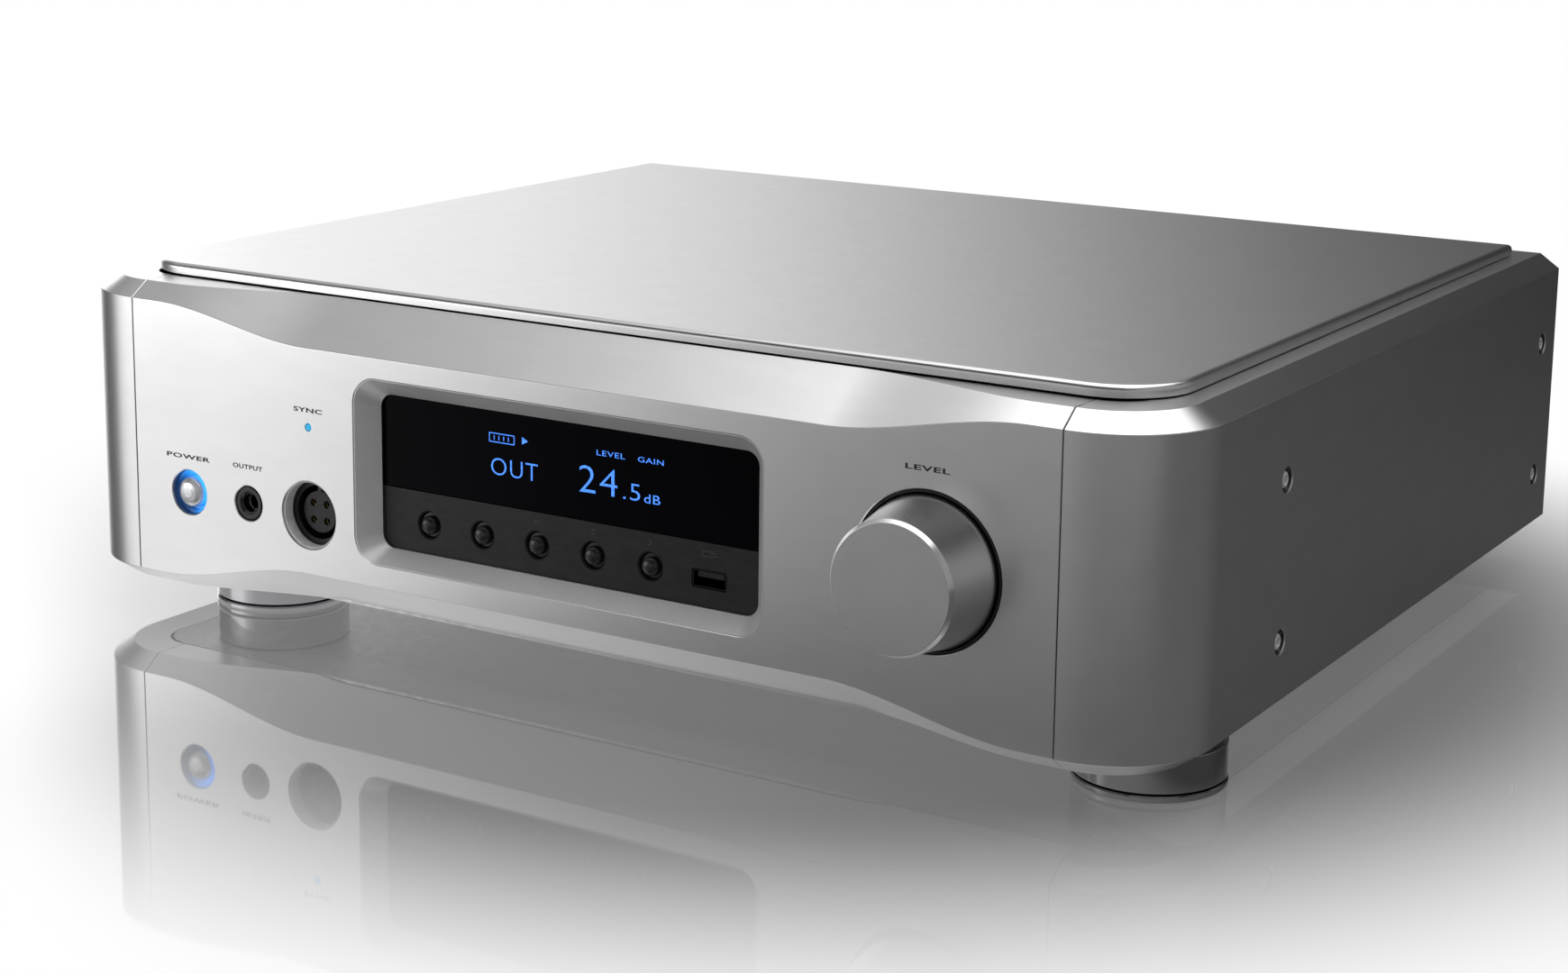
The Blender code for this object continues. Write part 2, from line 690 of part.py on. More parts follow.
def power_control():
    """A light ring fixed in the panel, the domed key inside it and the switch behind."""
    outer = POWER_HOLE - GAP
    inner = 5.5 * MM
    ring_back = -14.0 * MM
    ring = (
        (outer, -2.0 * MM),
        (outer, ring_back),
        (inner, ring_back),
        (inner, -3.8 * MM),
        (inner + 1.0 * MM, -3.5 * MM),
        (outer - 0.6 * MM, -2.4 * MM),
    )
    turned("power_light_ring", ring, on_front(*POWER), BLUE_GUIDE, ring=True)
    cap = inner - 0.35 * MM
    collar = ring_back - 0.4 * MM
    key = (
        (0.0, 1.0 * MM),
        (cap * 0.45, 0.75 * MM),
        (cap * 0.8, 0.0),
        (cap * 0.97, -0.9 * MM),
        (cap, -1.6 * MM),
        (cap, collar),
        (7.0 * MM, collar),
        (7.0 * MM, collar - 1.0 * MM),
        (2.0 * MM, collar - 1.0 * MM),
        (2.0 * MM, -22.0 * MM),
        (0.0, -22.0 * MM),
    )
    turned("power_button", key, on_front(*POWER), SATIN)
    x, z = POWER
    front = FACE_Y + PANEL_DEPTH + GAP
    size = Vector((11.0 * MM, 0.0, 9.0 * MM))
    body = Vector((x, front, z)) - size, Vector((x, front + 13.0 * MM, z)) + size
    switch = block("power_switch", *body, BLACK_PLASTIC)
    well = -PANEL_DEPTH - 3.5 * MM
    combine(switch, cylinder("cut_switch_well", 3.0 * MM, well, 0.0, on_front(*POWER)))


def front_sockets():
    barrel_end = -38.0 * MM
    bore_end = -33.0 * MM
    body = PHONES_HOLE - GAP
    phones = (
        (0.0, bore_end),
        (PHONES_BORE, bore_end),
        (PHONES_BORE, -1.2 * MM),
        (PHONES_BORE + 0.8 * MM, -0.3 * MM),
        (body - 0.5 * MM, -0.3 * MM),
        (body, -0.8 * MM),
        (body, barrel_end),
        (0.0, barrel_end),
    )
    turned("headphone_jack", phones, on_front(*PHONES), BLACK_PLASTIC)

    wall = BALANCED_HOLE - GAP
    insert = 7.7 * MM
    groove = 9.6 * MM
    face = -6.0 * MM
    balanced = (
        (0.0, face),
        (insert, face),
        (insert, -17.0 * MM),
        (groove, -17.0 * MM),
        (groove, -5.2 * MM),
        (wall, -5.2 * MM),
        (wall, -24.0 * MM),
        (0.0, -24.0 * MM),
    )
    turned("balanced_jack", balanced, on_front(*BALANCED), BLACK_PLASTIC)
    lens = LAMP_HOLE - GAP
    cylinder("clock_lamp", lens, -20.0 * MM, 0.2 * MM, on_front(*LAMP), CYAN_LAMP, segments=TINY_SEGMENTS)


def volume_control():
    """The knob on its shaft, the ring it turns in and the encoder behind the panel."""
    seat = KNOB_SEAT - GAP
    wall = seat - 0.7 * MM
    floor = -KNOB_SEAT_DEPTH + GAP
    ring = (
        (seat, -0.5 * MM),
        (seat, floor),
        (8.0 * MM, floor),
        (8.0 * MM, floor + 1.2 * MM),
        (wall, floor + 1.2 * MM),
        (wall, -0.5 * MM),
    )
    turned("knob_seat_ring", ring, on_front(*KNOB), BLACK_PLASTIC, ring=True)

    shoulder = KNOB_FRONT - 1.6 * MM
    base = -4.5 * MM
    bore_end = 14.3 * MM
    knob = [(0.0, KNOB_FRONT), (KNOB_FACE_RADIUS, KNOB_FRONT), (KNOB_RIM_RADIUS, shoulder)]
    steps = 5
    for step in range(1, steps + 1):
        share = step / steps
        radius = KNOB_RIM_RADIUS + (KNOB_BASE_RADIUS - KNOB_RIM_RADIUS) * share ** 1.4
        knob.append((radius, shoulder * (1.0 - share)))
    knob += [(KNOB_BASE_RADIUS, base), (SHAFT_BORE, base), (SHAFT_BORE, bore_end), (0.0, bore_end)]
    turned("volume_knob", knob, on_front(*KNOB), KNOB_METAL)

    shaft = on_front(*KNOB)
    shaft_back = -30.0 * MM
    cylinder("encoder_shaft", SHAFT, shaft_back, bore_end - GAP, shaft, STEEL)
    x, z = KNOB
    front = FACE_Y + PANEL_DEPTH + GAP
    half = Vector((13.0 * MM, 0.0, 13.0 * MM))
    body = Vector((x, front, z)) - half, Vector((x, front + 13.0 * MM, z)) + half
    encoder = block("volume_encoder", *body, STEEL)
    sleeve_front = -PANEL_DEPTH + 10.0 * MM
    sleeve_back = -PANEL_DEPTH - 3.0 * MM
    combine(encoder, cylinder("join_bushing", BUSHING, sleeve_back, sleeve_front, shaft), "UNION")
    combine(encoder, cylinder("cut_bushing", SHAFT_BORE, shaft_back - GAP, REACH, shaft))


def square_socket(name, spot, outer, hole, depth, back, material):
    """A socket body with a rectangular mouth; sizes are (width, height), all in millimetres."""
    x, z = spot
    lip = REAR_Y + 1.0 * MM
    half = Vector((outer[0] * MM / 2, 0.0, outer[1] * MM / 2))
    mouth = Vector((hole[0] * MM / 2, 0.0, hole[1] * MM / 2))
    low = Vector((x, lip - back * MM, z)) - half
    socket = block(name, low, Vector((x, lip, z)) + half, material)
    floor = Vector((x, lip - depth * MM, z)) - mouth
    combine(socket, block("cut_" + name, floor, Vector((x, lip + REACH, z)) + mouth))
    return socket


def phono_socket(name, spot):
    """A barrel socket with a flange outside the rear panel."""
    profile = (
        (0.0, SOCKET_REACH - 8.0 * MM),
        (1.7 * MM, SOCKET_REACH - 8.0 * MM),
        (1.7 * MM, SOCKET_REACH),
        (4.15 * MM, SOCKET_REACH),
        (4.15 * MM, 1.5 * MM),
        (6.6 * MM, 1.5 * MM),
        (6.6 * MM, GAP),
        (5.1 * MM, GAP),
        (5.1 * MM, -9.0 * MM),
        (0.0, -9.0 * MM),
    )
    turned(name, profile, on_rear(*spot), GOLD, segments=SMALL_SEGMENTS)


def balanced_output(name, spot):
    """A shell with a wide flange; its pins stand inside."""
    top = 2.2 * MM
    profile = (
        (0.0, top - 14.0 * MM),
        (9.6 * MM, top - 14.0 * MM),
        (9.6 * MM, top),
        (13.2 * MM, top),
        (13.2 * MM, GAP),
        (11.6 * MM, GAP),
        (11.6 * MM, -20.0 * MM),
        (0.0, -20.0 * MM),
    )
    turned(name, profile, on_rear(*spot), BLACK_PLASTIC)


def clock_input():
    """A bayonet socket for an outside clock."""
    reach = SOCKET_REACH - 0.2 * MM
    profile = (
        (0.0, reach - 7.0 * MM),
        (1.1 * MM, reach - 7.0 * MM),
        (1.1 * MM, reach),
        (4.8 * MM, reach),
        (4.8 * MM, 2.0 * MM),
        (7.6 * MM, 2.0 * MM),
        (7.6 * MM, GAP),
        (6.0 * MM, GAP),
        (6.0 * MM, -12.0 * MM),
        (0.0, -12.0 * MM),
    )
    turned("clock_input", profile, on_rear(*CLOCK_IN), STEEL, segments=SMALL_SEGMENTS)


def rear_sockets():
    square_socket("mains_inlet", MAINS, (28.0, 21.0), (24.4, 16.6), 16.0, 24.0, BLACK_PLASTIC)
    square_socket("network_port", NETWORK, (16.0, 13.5), (11.8, 8.0), 12.0, 16.0, STEEL)
    square_socket("usb_b_port", USB_B, (12.0, 11.0), (8.6, 7.8), 9.0, 14.0, STEEL)
    square_socket("optical_input", OPTICAL, (10.0, 10.0), (6.4, 6.4), 8.0, 12.0, BLACK_PLASTIC)
    phono_socket("coaxial_input", COAXIAL)
    for side in ("left", "right"):
        phono_socket("rca_output_" + side, (RCA_X[side], RCA_Z))
        balanced_output("xlr_output_" + side, (XLR_X[side], XLR_Z))
    clock_input()


def transformer():
    low = CASE_BOTTOM + SHEET + GAP
    edge = 8.0 * MM
    coil = (
        (TRANSFORMER_RADIUS - edge, TRANSFORMER_TOP),
        (TRANSFORMER_RADIUS, TRANSFORMER_TOP - edge),
        (TRANSFORMER_RADIUS, low + edge),
        (TRANSFORMER_RADIUS - edge, low),
        (TRANSFORMER_HOLE, low),
        (TRANSFORMER_HOLE, TRANSFORMER_TOP),
    )
    spot = place((*TRANSFORMER, 0.0))
    turned("mains_transformer", coil, spot, WINDING, ring=True)
    bolt = 4.0 * MM
    washer = 26.0 * MM
    under = TRANSFORMER_TOP + GAP
    clamp = (
        (0.0, under + 6.0 * MM),
        (7.0 * MM, under + 6.0 * MM),
        (7.0 * MM, under + 2.0 * MM),
        (washer, under + 2.0 * MM),
        (washer, under),
        (bolt, under),
        (bolt, low),
        (0.0, low),
    )
    turned("transformer_clamp", clamp, spot, STEEL, segments=SMALL_SEGMENTS)


def board(name, area, parts):
    """A circuit board with its large parts standing on it."""
    (left, front), (right, rear) = area
    base = block(name, (left, front, BOARD_Z), (right, rear, BOARD_Z + BOARD), CIRCUIT)
    low = BOARD_Z + BOARD / 2
    for number, (shape, x, y, size, height) in enumerate(parts, 1):
        label = f"join_{name}_{number}"
        if shape == "can":
            extra = cylinder(label, size, low, low + height, place((x, y, 0.0)), segments=SMALL_SEGMENTS)
        else:
            width, depth = size
            corner = Vector((x - width / 2, y - depth / 2, low))
            extra = block(label, corner, corner + Vector((width, depth, height)))
        combine(base, extra, "UNION")


def boards():
    cans = [
        ("can", x * MM, y * MM, 13.0 * MM, 42.0 * MM)
        for x in (-160.0, -125.0, -90.0)
        for y in (50.0, 90.0)
    ]
    board("power_board", POWER_BOARD, cans)
    chips = [
        ("box", x * MM, y * MM, (20.0 * MM, 20.0 * MM), 3.4 * MM)
        for x, y in ((-10.0, 60.0), (35.0, 60.0), (70.0, 90.0))
    ]
    board("digital_board", DIGITAL_BOARD, chips)
    sinks = [
        ("box", 150.0 * MM, y * MM, (50.0 * MM, 14.0 * MM), 36.0 * MM)
        for y in (-70.0, -20.0, 60.0, 110.0)
    ]
    board("headphone_amp_board", AMP_BOARD, sinks)


case()
feet()
display()
control_board()
menu_buttons()
usb_port()
power_control()
front_sockets()
volume_control()
rear_sockets()
transformer()
boards()
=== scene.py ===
"""Looks for the full-width headphone amplifier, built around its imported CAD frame.

Lengths are in metres, and in millimetres in turned profiles, tubes, drills and tables of words.
+X is to the right seen from the front, -Y out of the front panel and +Z up.
"""

import math

import bmesh
import bpy
from mathutils import Matrix, Vector


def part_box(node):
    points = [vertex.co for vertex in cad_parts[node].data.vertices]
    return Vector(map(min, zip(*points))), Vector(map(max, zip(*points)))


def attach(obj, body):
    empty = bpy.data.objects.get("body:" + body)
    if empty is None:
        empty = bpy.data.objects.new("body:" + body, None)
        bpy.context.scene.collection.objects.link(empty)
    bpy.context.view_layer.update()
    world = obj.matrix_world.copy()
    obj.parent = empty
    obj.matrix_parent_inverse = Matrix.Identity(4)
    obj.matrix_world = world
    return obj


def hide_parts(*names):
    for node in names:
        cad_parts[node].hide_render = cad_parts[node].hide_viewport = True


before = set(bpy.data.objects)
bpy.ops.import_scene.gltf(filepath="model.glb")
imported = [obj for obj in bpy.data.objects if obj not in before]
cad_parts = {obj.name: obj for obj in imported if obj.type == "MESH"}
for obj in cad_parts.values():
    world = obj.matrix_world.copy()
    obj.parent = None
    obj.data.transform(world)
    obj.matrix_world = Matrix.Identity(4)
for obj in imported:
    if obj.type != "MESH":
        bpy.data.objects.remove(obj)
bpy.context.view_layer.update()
MM = 0.001
TAU = 2.0 * math.pi
# The space between neighbouring pieces, and how far a cutter stands past what it cuts
GAP_MM = 0.3
REACH_MM = 6.0
GAP = GAP_MM * MM
REACH = REACH_MM * MM
LEAST_RADIUS = 0.05 * MM
# Print on a surface: how far its underside stands off, and its thickness
PRINT_OFF = 0.01 * MM
PRINT_THICKNESS = 0.03 * MM

LOW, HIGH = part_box("left_side_panel")
HALF_WIDTH = -LOW.x
FACE_Y = LOW.y
REAR_Y = HIGH.y
CASE_BOTTOM = LOW.z
RIM_TOP = HIGH.z
PANEL_LOW, PANEL_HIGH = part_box("front_panel")
PANEL_HALF = PANEL_HIGH.x
PANEL_DEPTH = PANEL_HIGH.y - PANEL_LOW.y


def middle(node):
    """The middle of a CAD node's box."""
    low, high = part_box(node)
    return (low + high) / 2


# ---------------------------------------------------------------- materials


class Nodes:
    """Short ways to write a node tree."""

    def __init__(self, tree):
        self.tree = tree

    def feed(self, socket, value):
        """Gives a socket a number, a colour or another node's result."""
        if isinstance(value, bpy.types.NodeSocket):
            self.tree.links.new(value, socket)
        else:
            socket.default_value = value

    def node(self, kind, sockets=None, **settings):
        """A node with its settings made and its sockets fed."""
        made = self.tree.nodes.new(kind)
        for key, value in settings.items():
            setattr(made, key, value)
        for key, value in (sockets or {}).items():
            self.feed(made.inputs[key], value)
        return made

    def calc(self, operation, *values):
        """The result of a Math node."""
        made = self.node("ShaderNodeMath", dict(enumerate(values)), operation=operation)
        return made.outputs["Value"]

    def choose(self, factor, first, second):
        """The first number where the factor is 0 and the second where it is 1."""
        sockets = {"Factor": factor, "A": first, "B": second}
        return self.node("ShaderNodeMix", sockets, data_type="FLOAT").outputs["Result"]

    def split(self, vector):
        """The X, Y and Z of a vector."""
        return self.node("ShaderNodeSeparateXYZ", {"Vector": vector}).outputs

    def ramp(self, value, low, high, start=0.3, stop=0.7, kind="SMOOTHSTEP"):
        """A value between two limits that follows a pattern."""
        sockets = {
            "Value": value, "From Min": start, "From Max": stop, "To Min": low, "To Max": high,
        }
        return self.node("ShaderNodeMapRange", sockets, interpolation_type=kind).outputs["Result"]


class Look(Nodes):
    """A material that starts from one Principled shader in object coordinates."""

    def __init__(self, name, colour, roughness, metallic=0.0, **sockets):
        self.material = bpy.data.materials.new(name)
        self.material.use_nodes = True
        super().__init__(self.material.node_tree)
        self.shader = self.tree.nodes["Principled BSDF"]
        self.colour = colour
        self.roughness = roughness
        self.set("Base Color", (*colour, 1.0))
        self.set("Roughness", roughness)
        self.set("Metallic", metallic)
        for socket, value in sockets.items():
            self.set(socket.replace("_", " "), value)
        self.place = self.node("ShaderNodeTexCoord").outputs["Object"]

    def set(self, socket, value):
        self.feed(self.shader.inputs[socket], value)

    def surface(self, shader):
        """Puts another shader in the place of the Principled one."""
        self.feed(self.tree.nodes["Material Output"].inputs["Surface"], shader)

    def noise(self, scale, stretch=(1.0, 1.0, 1.0), detail=3.0):
        """A noise pattern with so many cells a metre, stretched along the axes."""
        mapping = self.node("ShaderNodeMapping", {"Vector": self.place, "Scale": stretch})
        sockets = {"Vector": mapping.outputs["Vector"], "Scale": scale, "Detail": detail}
        return self.node("ShaderNodeTexNoise", sockets).outputs["Fac"]

    def mottle(self, pattern, amount):
        """Slight changes of the base colour."""
        darker = [channel * (1.0 - amount) for channel in self.colour]
        lighter = [min(channel * (1.0 + amount), 1.0) for channel in self.colour]
        share = self.ramp(pattern, 0.0, 1.0)
        sockets = {"Factor": share, "A": (*darker, 1.0), "B": (*lighter, 1.0)}
        mix = self.node("ShaderNodeMix", sockets, data_type="RGBA")
        self.set("Base Color", mix.outputs["Result"])
        return self

    def polish(self, pattern, amount):
        """Slight changes of the roughness."""
        limits = max(self.roughness - amount, 0.02), self.roughness + amount
        self.set("Roughness", self.ramp(pattern, *limits))
        return self

    def grain(self, pattern, height, strength=0.5):
        """A relief of so many metres."""
        sockets = {"Strength": strength, "Distance": height, "Height": pattern}
        self.set("Normal", self.node("ShaderNodeBump", sockets).outputs["Normal"])
        return self


# A pattern stretched this way runs along X or along Y
ALONG_X = (0.35, 1.0, 1.0)
ALONG_Y = (1.0, 0.35, 1.0)


def satin(name, colour, roughness, streak=(1.0, 1.0, 1.0), metallic=1.0):
    """Bead-blasted and anodised aluminium, with a faint direction left by the milling."""
    look = Look(name, colour, roughness, metallic)
    look.mottle(look.noise(120.0, streak), 0.015)
    look.polish(look.noise(60.0, streak, 2.0), 0.0015)
    return look.material


ALUMINIUM = (0.80, 0.80, 0.805)
FRONT_METAL = satin("front_aluminium", ALUMINIUM, 0.29, ALONG_X)
SIDE_METAL = satin("side_aluminium", ALUMINIUM, 0.30, ALONG_Y)
TOP_METAL = satin("top_aluminium", ALUMINIUM, 0.28)
FACING_METAL = satin("recess_aluminium", ALUMINIUM, 0.42, ALONG_X, 0.5)
REAR_METAL = satin("rear_aluminium", (0.60, 0.60, 0.61), 0.42, ALONG_X)
KNOB_METAL = satin("knob_aluminium", (0.78, 0.78, 0.785), 0.25)


def polished(name, colour, roughness):
    """Bare or plated metal, wiped more in some places than in others."""
    look = Look(name, colour, roughness, 1.0)
    look.polish(look.noise(260.0), roughness * 0.3)
    look.mottle(look.noise(90.0), 0.02)
    return look.material


CHROME = polished("polished_chrome", (0.82, 0.82, 0.84), 0.07)
FOOT_METAL = polished("foot_chrome", (0.36, 0.36, 0.37), 0.14)
STEEL = polished("plain_steel", (0.52, 0.52, 0.53), 0.38)
DARK_STEEL = polished("dark_steel", (0.035, 0.035, 0.037), 0.35)
GOLD = polished("gold_plating", (0.90, 0.66, 0.28), 0.2)
CAP_METAL = polished("key_cap_metal", (0.86, 0.87, 0.9), 0.4)


def moulded(name, colour, roughness, relief=0.00002):
    """Moulded plastic, paint or ink with a fine relief of so many metres."""
    look = Look(name, colour, roughness)
    look.mottle(look.noise(300.0), 0.12)
    look.polish(look.noise(700.0), 0.05)
    look.grain(look.noise(1800.0), relief)
    return look.material


BLACK = moulded("black_moulding", (0.012, 0.012, 0.013), 0.35)
GLOSS_BLACK = moulded("glossy_black_moulding", (0.008, 0.008, 0.009), 0.16, 0.000005)
INSERT_BLACK = moulded("insert_moulding", (0.010, 0.010, 0.011), 0.4)
KEY_BLACK = moulded("key_moulding", (0.02, 0.02, 0.021), 0.25, 0.000005)
# Near-white and not metallic: a painted highlight on the screw heads in place of chrome
SCREW_HIGHLIGHT_WHITE = moulded("screw_painted_highlight", (0.95, 0.95, 0.96), 0.3, 0.000001)
# A pale, non-metallic sleeve: a painted reflection standing in for the lit metal wall of a socket's
# hole
BORE_SHEEN = moulded("socket_bore_sheen", (0.92, 0.92, 0.93), 0.4, 0.000001)
WHITE_RING = moulded("white_insulator", (0.75, 0.74, 0.72), 0.45)
RED_RING = moulded("red_insulator", (0.55, 0.03, 0.03), 0.4)
BOARD_GREEN = moulded("circuit_board", (0.02, 0.13, 0.06), 0.45)
WRAP = moulded("transformer_wrap", (0.04, 0.04, 0.05), 0.5, 0.0001)
INK = moulded("label_ink", (0.015, 0.015, 0.017), 0.55, 0.000002)
PALE_INK = moulded("rear_label_ink", (0.05, 0.05, 0.05), 0.55, 0.000002)
MARK_INK = moulded("strip_mark_ink", (0.09, 0.09, 0.10), 0.5, 0.000002)

GLASS_LOOK = Look("black_glass", (0.002, 0.002, 0.004), 0.06, Specular_IOR_Level=0.04)
GLASS_LOOK.polish(GLASS_LOOK.noise(60.0), 0.02)
GLASS_LOOK.mottle(GLASS_LOOK.noise(25.0), 0.1)
GLASS = GLASS_LOOK.material

BRUSHED = (0.3, 1.0, 1.0)
STRIP_LOOK = Look("key_strip_finish", (0.03, 0.03, 0.032), 0.42, Specular_IOR_Level=0.3)
STRIP_LOOK.mottle(STRIP_LOOK.noise(500.0, BRUSHED), 0.15)
STRIP_LOOK.grain(STRIP_LOOK.noise(1500.0, BRUSHED), 0.00001)
STRIP = STRIP_LOOK.material


def glowing(name, colour, strength, variation=0.2):
    """A lit part: its glow varies a little over its surface."""
    look = Look(name, (0.02, 0.02, 0.03), 0.35, Emission_Color=(*colour, 1.0))
    pattern = look.noise(900.0)
    limits = strength * (1.0 - variation), strength * (1.0 + variation)
    look.set("Emission Strength", look.ramp(pattern, *limits))
    look.mottle(pattern, 0.1)
    return look.material


READOUT = glowing("display_readout", (0.06, 0.26, 1.0), 1.3)
LAMP_GLOW = glowing("lamp_lens", (0.03, 0.42, 0.75), 1.0)
# Glow of the power ring at its dim and bright ends, and how far Z counts along its slant: painted
# shade on the ring's left side
RING_DIM = 0.1
RING_BRIGHT = 2.6
RING_SLANT = 0.45


def ring_light(spot, radius):
    """Blue acrylic that glows, brightest to its right and top; its dim left side is painted shade,
    where the wall of the hole shades the ring.
    """
    look = Look("power_ring_acrylic", (0.01, 0.06, 0.25), 0.22, Coat_Weight=0.4)
    split = look.split(look.place)
    slant = look.calc("MULTIPLY_ADD", split["Z"], RING_SLANT, split["X"])
    centre = spot.x + RING_SLANT * spot.z
    span = centre - radius * 0.8, centre + radius * 0.8
    # Painted shade: the glow falls off towards the left and bottom of the ring
    look.set("Emission Strength", look.ramp(slant, RING_DIM, RING_BRIGHT, *span))
    look.set("Emission Color", (0.02, 0.24, 0.8, 1.0))
    look.mottle(look.noise(600.0), 0.1)
    return look.material


# ---------------------------------------------------------------- mesh tools


def arc(centre, radius, start, stop, steps):
    """Points along an arc, with its angles in radians."""
    points = []
    for step in range(steps + 1):
        angle = start + (stop - start) * step / steps
        points.append(centre + radius * Vector((math.cos(angle), math.sin(angle))))
    return points


def rounded(corners, closed=True, steps=4):
    """An outline whose corners (across, along, radius) are rounded where a radius is given."""
    points = []
    count = len(corners)
    for index, corner in enumerate(corners):
        here = Vector(corner[:2])
        radius = corner[2] if len(corner) > 2 else 0.0
        if radius == 0.0 or not (closed or 0 < index < count - 1):
            points.append(here)
            continue
        back = Vector(corners[index - 1][:2]) - here
        on = Vector(corners[(index + 1) % count][:2]) - here
        half = back.angle(on) / 2
        reach = min(radius / math.tan(half), back.length * 0.49, on.length * 0.49)
        radius = reach * math.tan(half)
        back.normalize()
        on.normalize()
        centre = here + (back + on).normalized() * (radius / math.sin(half))
        first = here + back * reach - centre
        last = here + on * reach - centre
        start = math.atan2(first.y, first.x)
        turn = math.atan2(last.y, last.x) - start
        turn = (turn + math.pi) % TAU - math.pi
        points += arc(centre, radius, start, start + turn, steps)
    return points


def rounded_box(low, high, radius, steps=8, inset=0.0):
    """A rounded rectangle between two corners, anticlockwise, drawn in by an inset."""
    radius = max(radius - inset, LEAST_RADIUS)
    left, bottom = low[0] + inset, low[1] + inset
    right, top = high[0] - inset, high[1] - inset
    corners = [(right, bottom), (right, top), (left, top), (left, bottom)]
    return rounded([(x, y, radius) for x, y in corners], True, steps)


def place(position, direction=(0.0, 0.0, 1.0)):
    """The matrix that puts a piece at a position with its own +Z along a direction."""
    turn = Vector((0.0, 0.0, 1.0)).rotation_difference(Vector(direction)).to_matrix()
    return Matrix.Translation(position) @ turn.to_4x4()


def on_front(spot):
    """A place on the front face, with its +Z towards the viewer."""
    return place((spot.x, FACE_Y, spot.z), (0.0, -1.0, 0.0))


def on_rear(spot):
    """A place on the rear, with its +Z pointing out."""
    return place((spot.x, REAR_Y, spot.z), (0.0, 1.0, 0.0))


def from_columns(*columns):
    """The matrix whose columns are three axes and a position."""
    return Matrix([[column[row] for column in columns] for row in range(3)] + [[0, 0, 0, 1]])


def upright(spot, depth, facing=-1.0):
    """Across to +X and up to +Z on the front, mirrored for the rear; its own +Z points out."""
    position = Vector((spot.x, depth, spot.z))
    across = Vector((-facing, 0.0, 0.0))
    return from_columns(across, Vector((0.0, 0.0, 1.0)), Vector((0.0, facing, 0.0)), position)


def skin(bm, loops, cap=True):
    """Faces through a row of loops with equally many points, and over both ends."""
    rings = [[bm.verts.new(point) for point in loop] for loop in loops]
    count = len(rings[0])
    for near, far in zip(rings, rings[1:]):
        for step in range(count):
            after = (step + 1) % count
            bm.faces.new((near[step], near[after], far[after], far[step]))
    if cap:
        bm.faces.new(rings[0])
        bm.faces.new(rings[-1])
    return bm


def loft(loops, matrix=None):
    """A closed form through a row of loops."""
    bm = skin(bmesh.new(), loops)
    bmesh.ops.recalc_face_normals(bm, faces=bm.faces)
    if matrix:
        bmesh.ops.transform(bm, matrix=matrix, verts=bm.verts)
    return bm


def prism(outline, low, high, matrix, edge=0.0, steps=3):
    """A flat outline raised between two heights, with its top edge rounded over."""
    loops = [[Vector((x, y, low)) for x, y in outline(0.0)]]
    loops.append([Vector((x, y, high - edge)) for x, y in outline(0.0)])
    for step in range(1, steps + 1 if edge else 1):
        angle = math.pi / 2 * step / steps
        inset = edge * (1.0 - math.cos(angle))
        height = high - edge + edge * math.sin(angle)
        loops.append([Vector((x, y, height)) for x, y in outline(inset)])
    return loft(loops, matrix)


def lathe(profile, matrix, segments=96, ring=False):
    """A turned solid, from corners of (radius, height, fillet) in millimetres, from the top down.

    The profile of a ring closes on itself, and any other starts and ends on the axis.
    """
    bm = bmesh.new()
    rows = []
    for radius, height in rounded(profile, ring):
        if radius < 0.0001:
            rows.append([bm.verts.new((0.0, 0.0, height * MM))])
            continue
        row = []
        for step in range(segments):
            angle = TAU * step / segments
            spot = radius * math.cos(angle), radius * math.sin(angle), height
            row.append(bm.verts.new(Vector(spot) * MM))
        rows.append(row)
    if ring:
        rows.append(rows[0])
    for near, far in zip(rows, rows[1:]):
        for step in range(segments):
            after = (step + 1) % segments
            if len(near) == 1:
                bm.faces.new((near[0], far[after], far[step]))
            elif len(far) == 1:
                bm.faces.new((near[step], near[after], far[0]))
            else:
                bm.faces.new((near[step], near[after], far[after], far[step]))
    bmesh.ops.recalc_face_normals(bm, faces=bm.faces)
    bmesh.ops.transform(bm, matrix=matrix, verts=bm.verts)
    return bm


def tube(inner, outer, top, bottom, matrix, segments, fillet=0.1, foot=0.0):
    """A turned ring of rectangular section, in millimetres, with its two ends rounded."""
    section = [(inner, top, fillet), (outer, top, fillet)]
    section += [(outer, bottom, foot), (inner, bottom, foot)]
    return lathe(section, matrix, segments, True)


def drill(radius, bottom, matrix, chamfer, segments=96):
    """A round cutter, in millimetres, whose mouth leaves a small chamfer."""
    profile = [(0.0, REACH_MM), (radius + chamfer + REACH_MM, REACH_MM), (radius, -chamfer)]
    return lathe(profile + [(radius, bottom), (0.0, bottom)], matrix, segments)


def merged(*parts):
    """Several closed forms as the mesh of one piece."""
    total = bmesh.new()
    for part in parts:
        mesh = bpy.data.meshes.new("part")
        part.to_mesh(mesh)
        part.free()
        total.from_mesh(mesh)
        bpy.data.meshes.remove(mesh)
    return total


def settle(obj):
    """Applies the modifiers."""
    graph = bpy.context.evaluated_depsgraph_get()
    mesh = bpy.data.meshes.new_from_object(obj.evaluated_get(graph))
    old = obj.data
    obj.modifiers.clear()
    obj.data = mesh
    bpy.data.meshes.remove(old)


def shape(name, bm, cutters=()):
    """An object from a mesh, cut by others."""
    mesh = bpy.data.meshes.new(name)
    bm.to_mesh(mesh)
    bm.free()
    obj = bpy.data.objects.new(name, mesh)
    bpy.context.scene.collection.objects.link(obj)
    tools = []
    for cutter in cutters:
        tool = shape(name + "_cutter", cutter)
        tools.append(tool)
        step = obj.modifiers.new("Cut", "BOOLEAN")
        step.operation = "DIFFERENCE"
        step.solver = "EXACT"
        step.object = tool
    if tools:
        bpy.context.view_layer.update()
        settle(obj)
    for tool in tools:
        bpy.data.objects.remove(tool, do_unlink=True)
    return obj


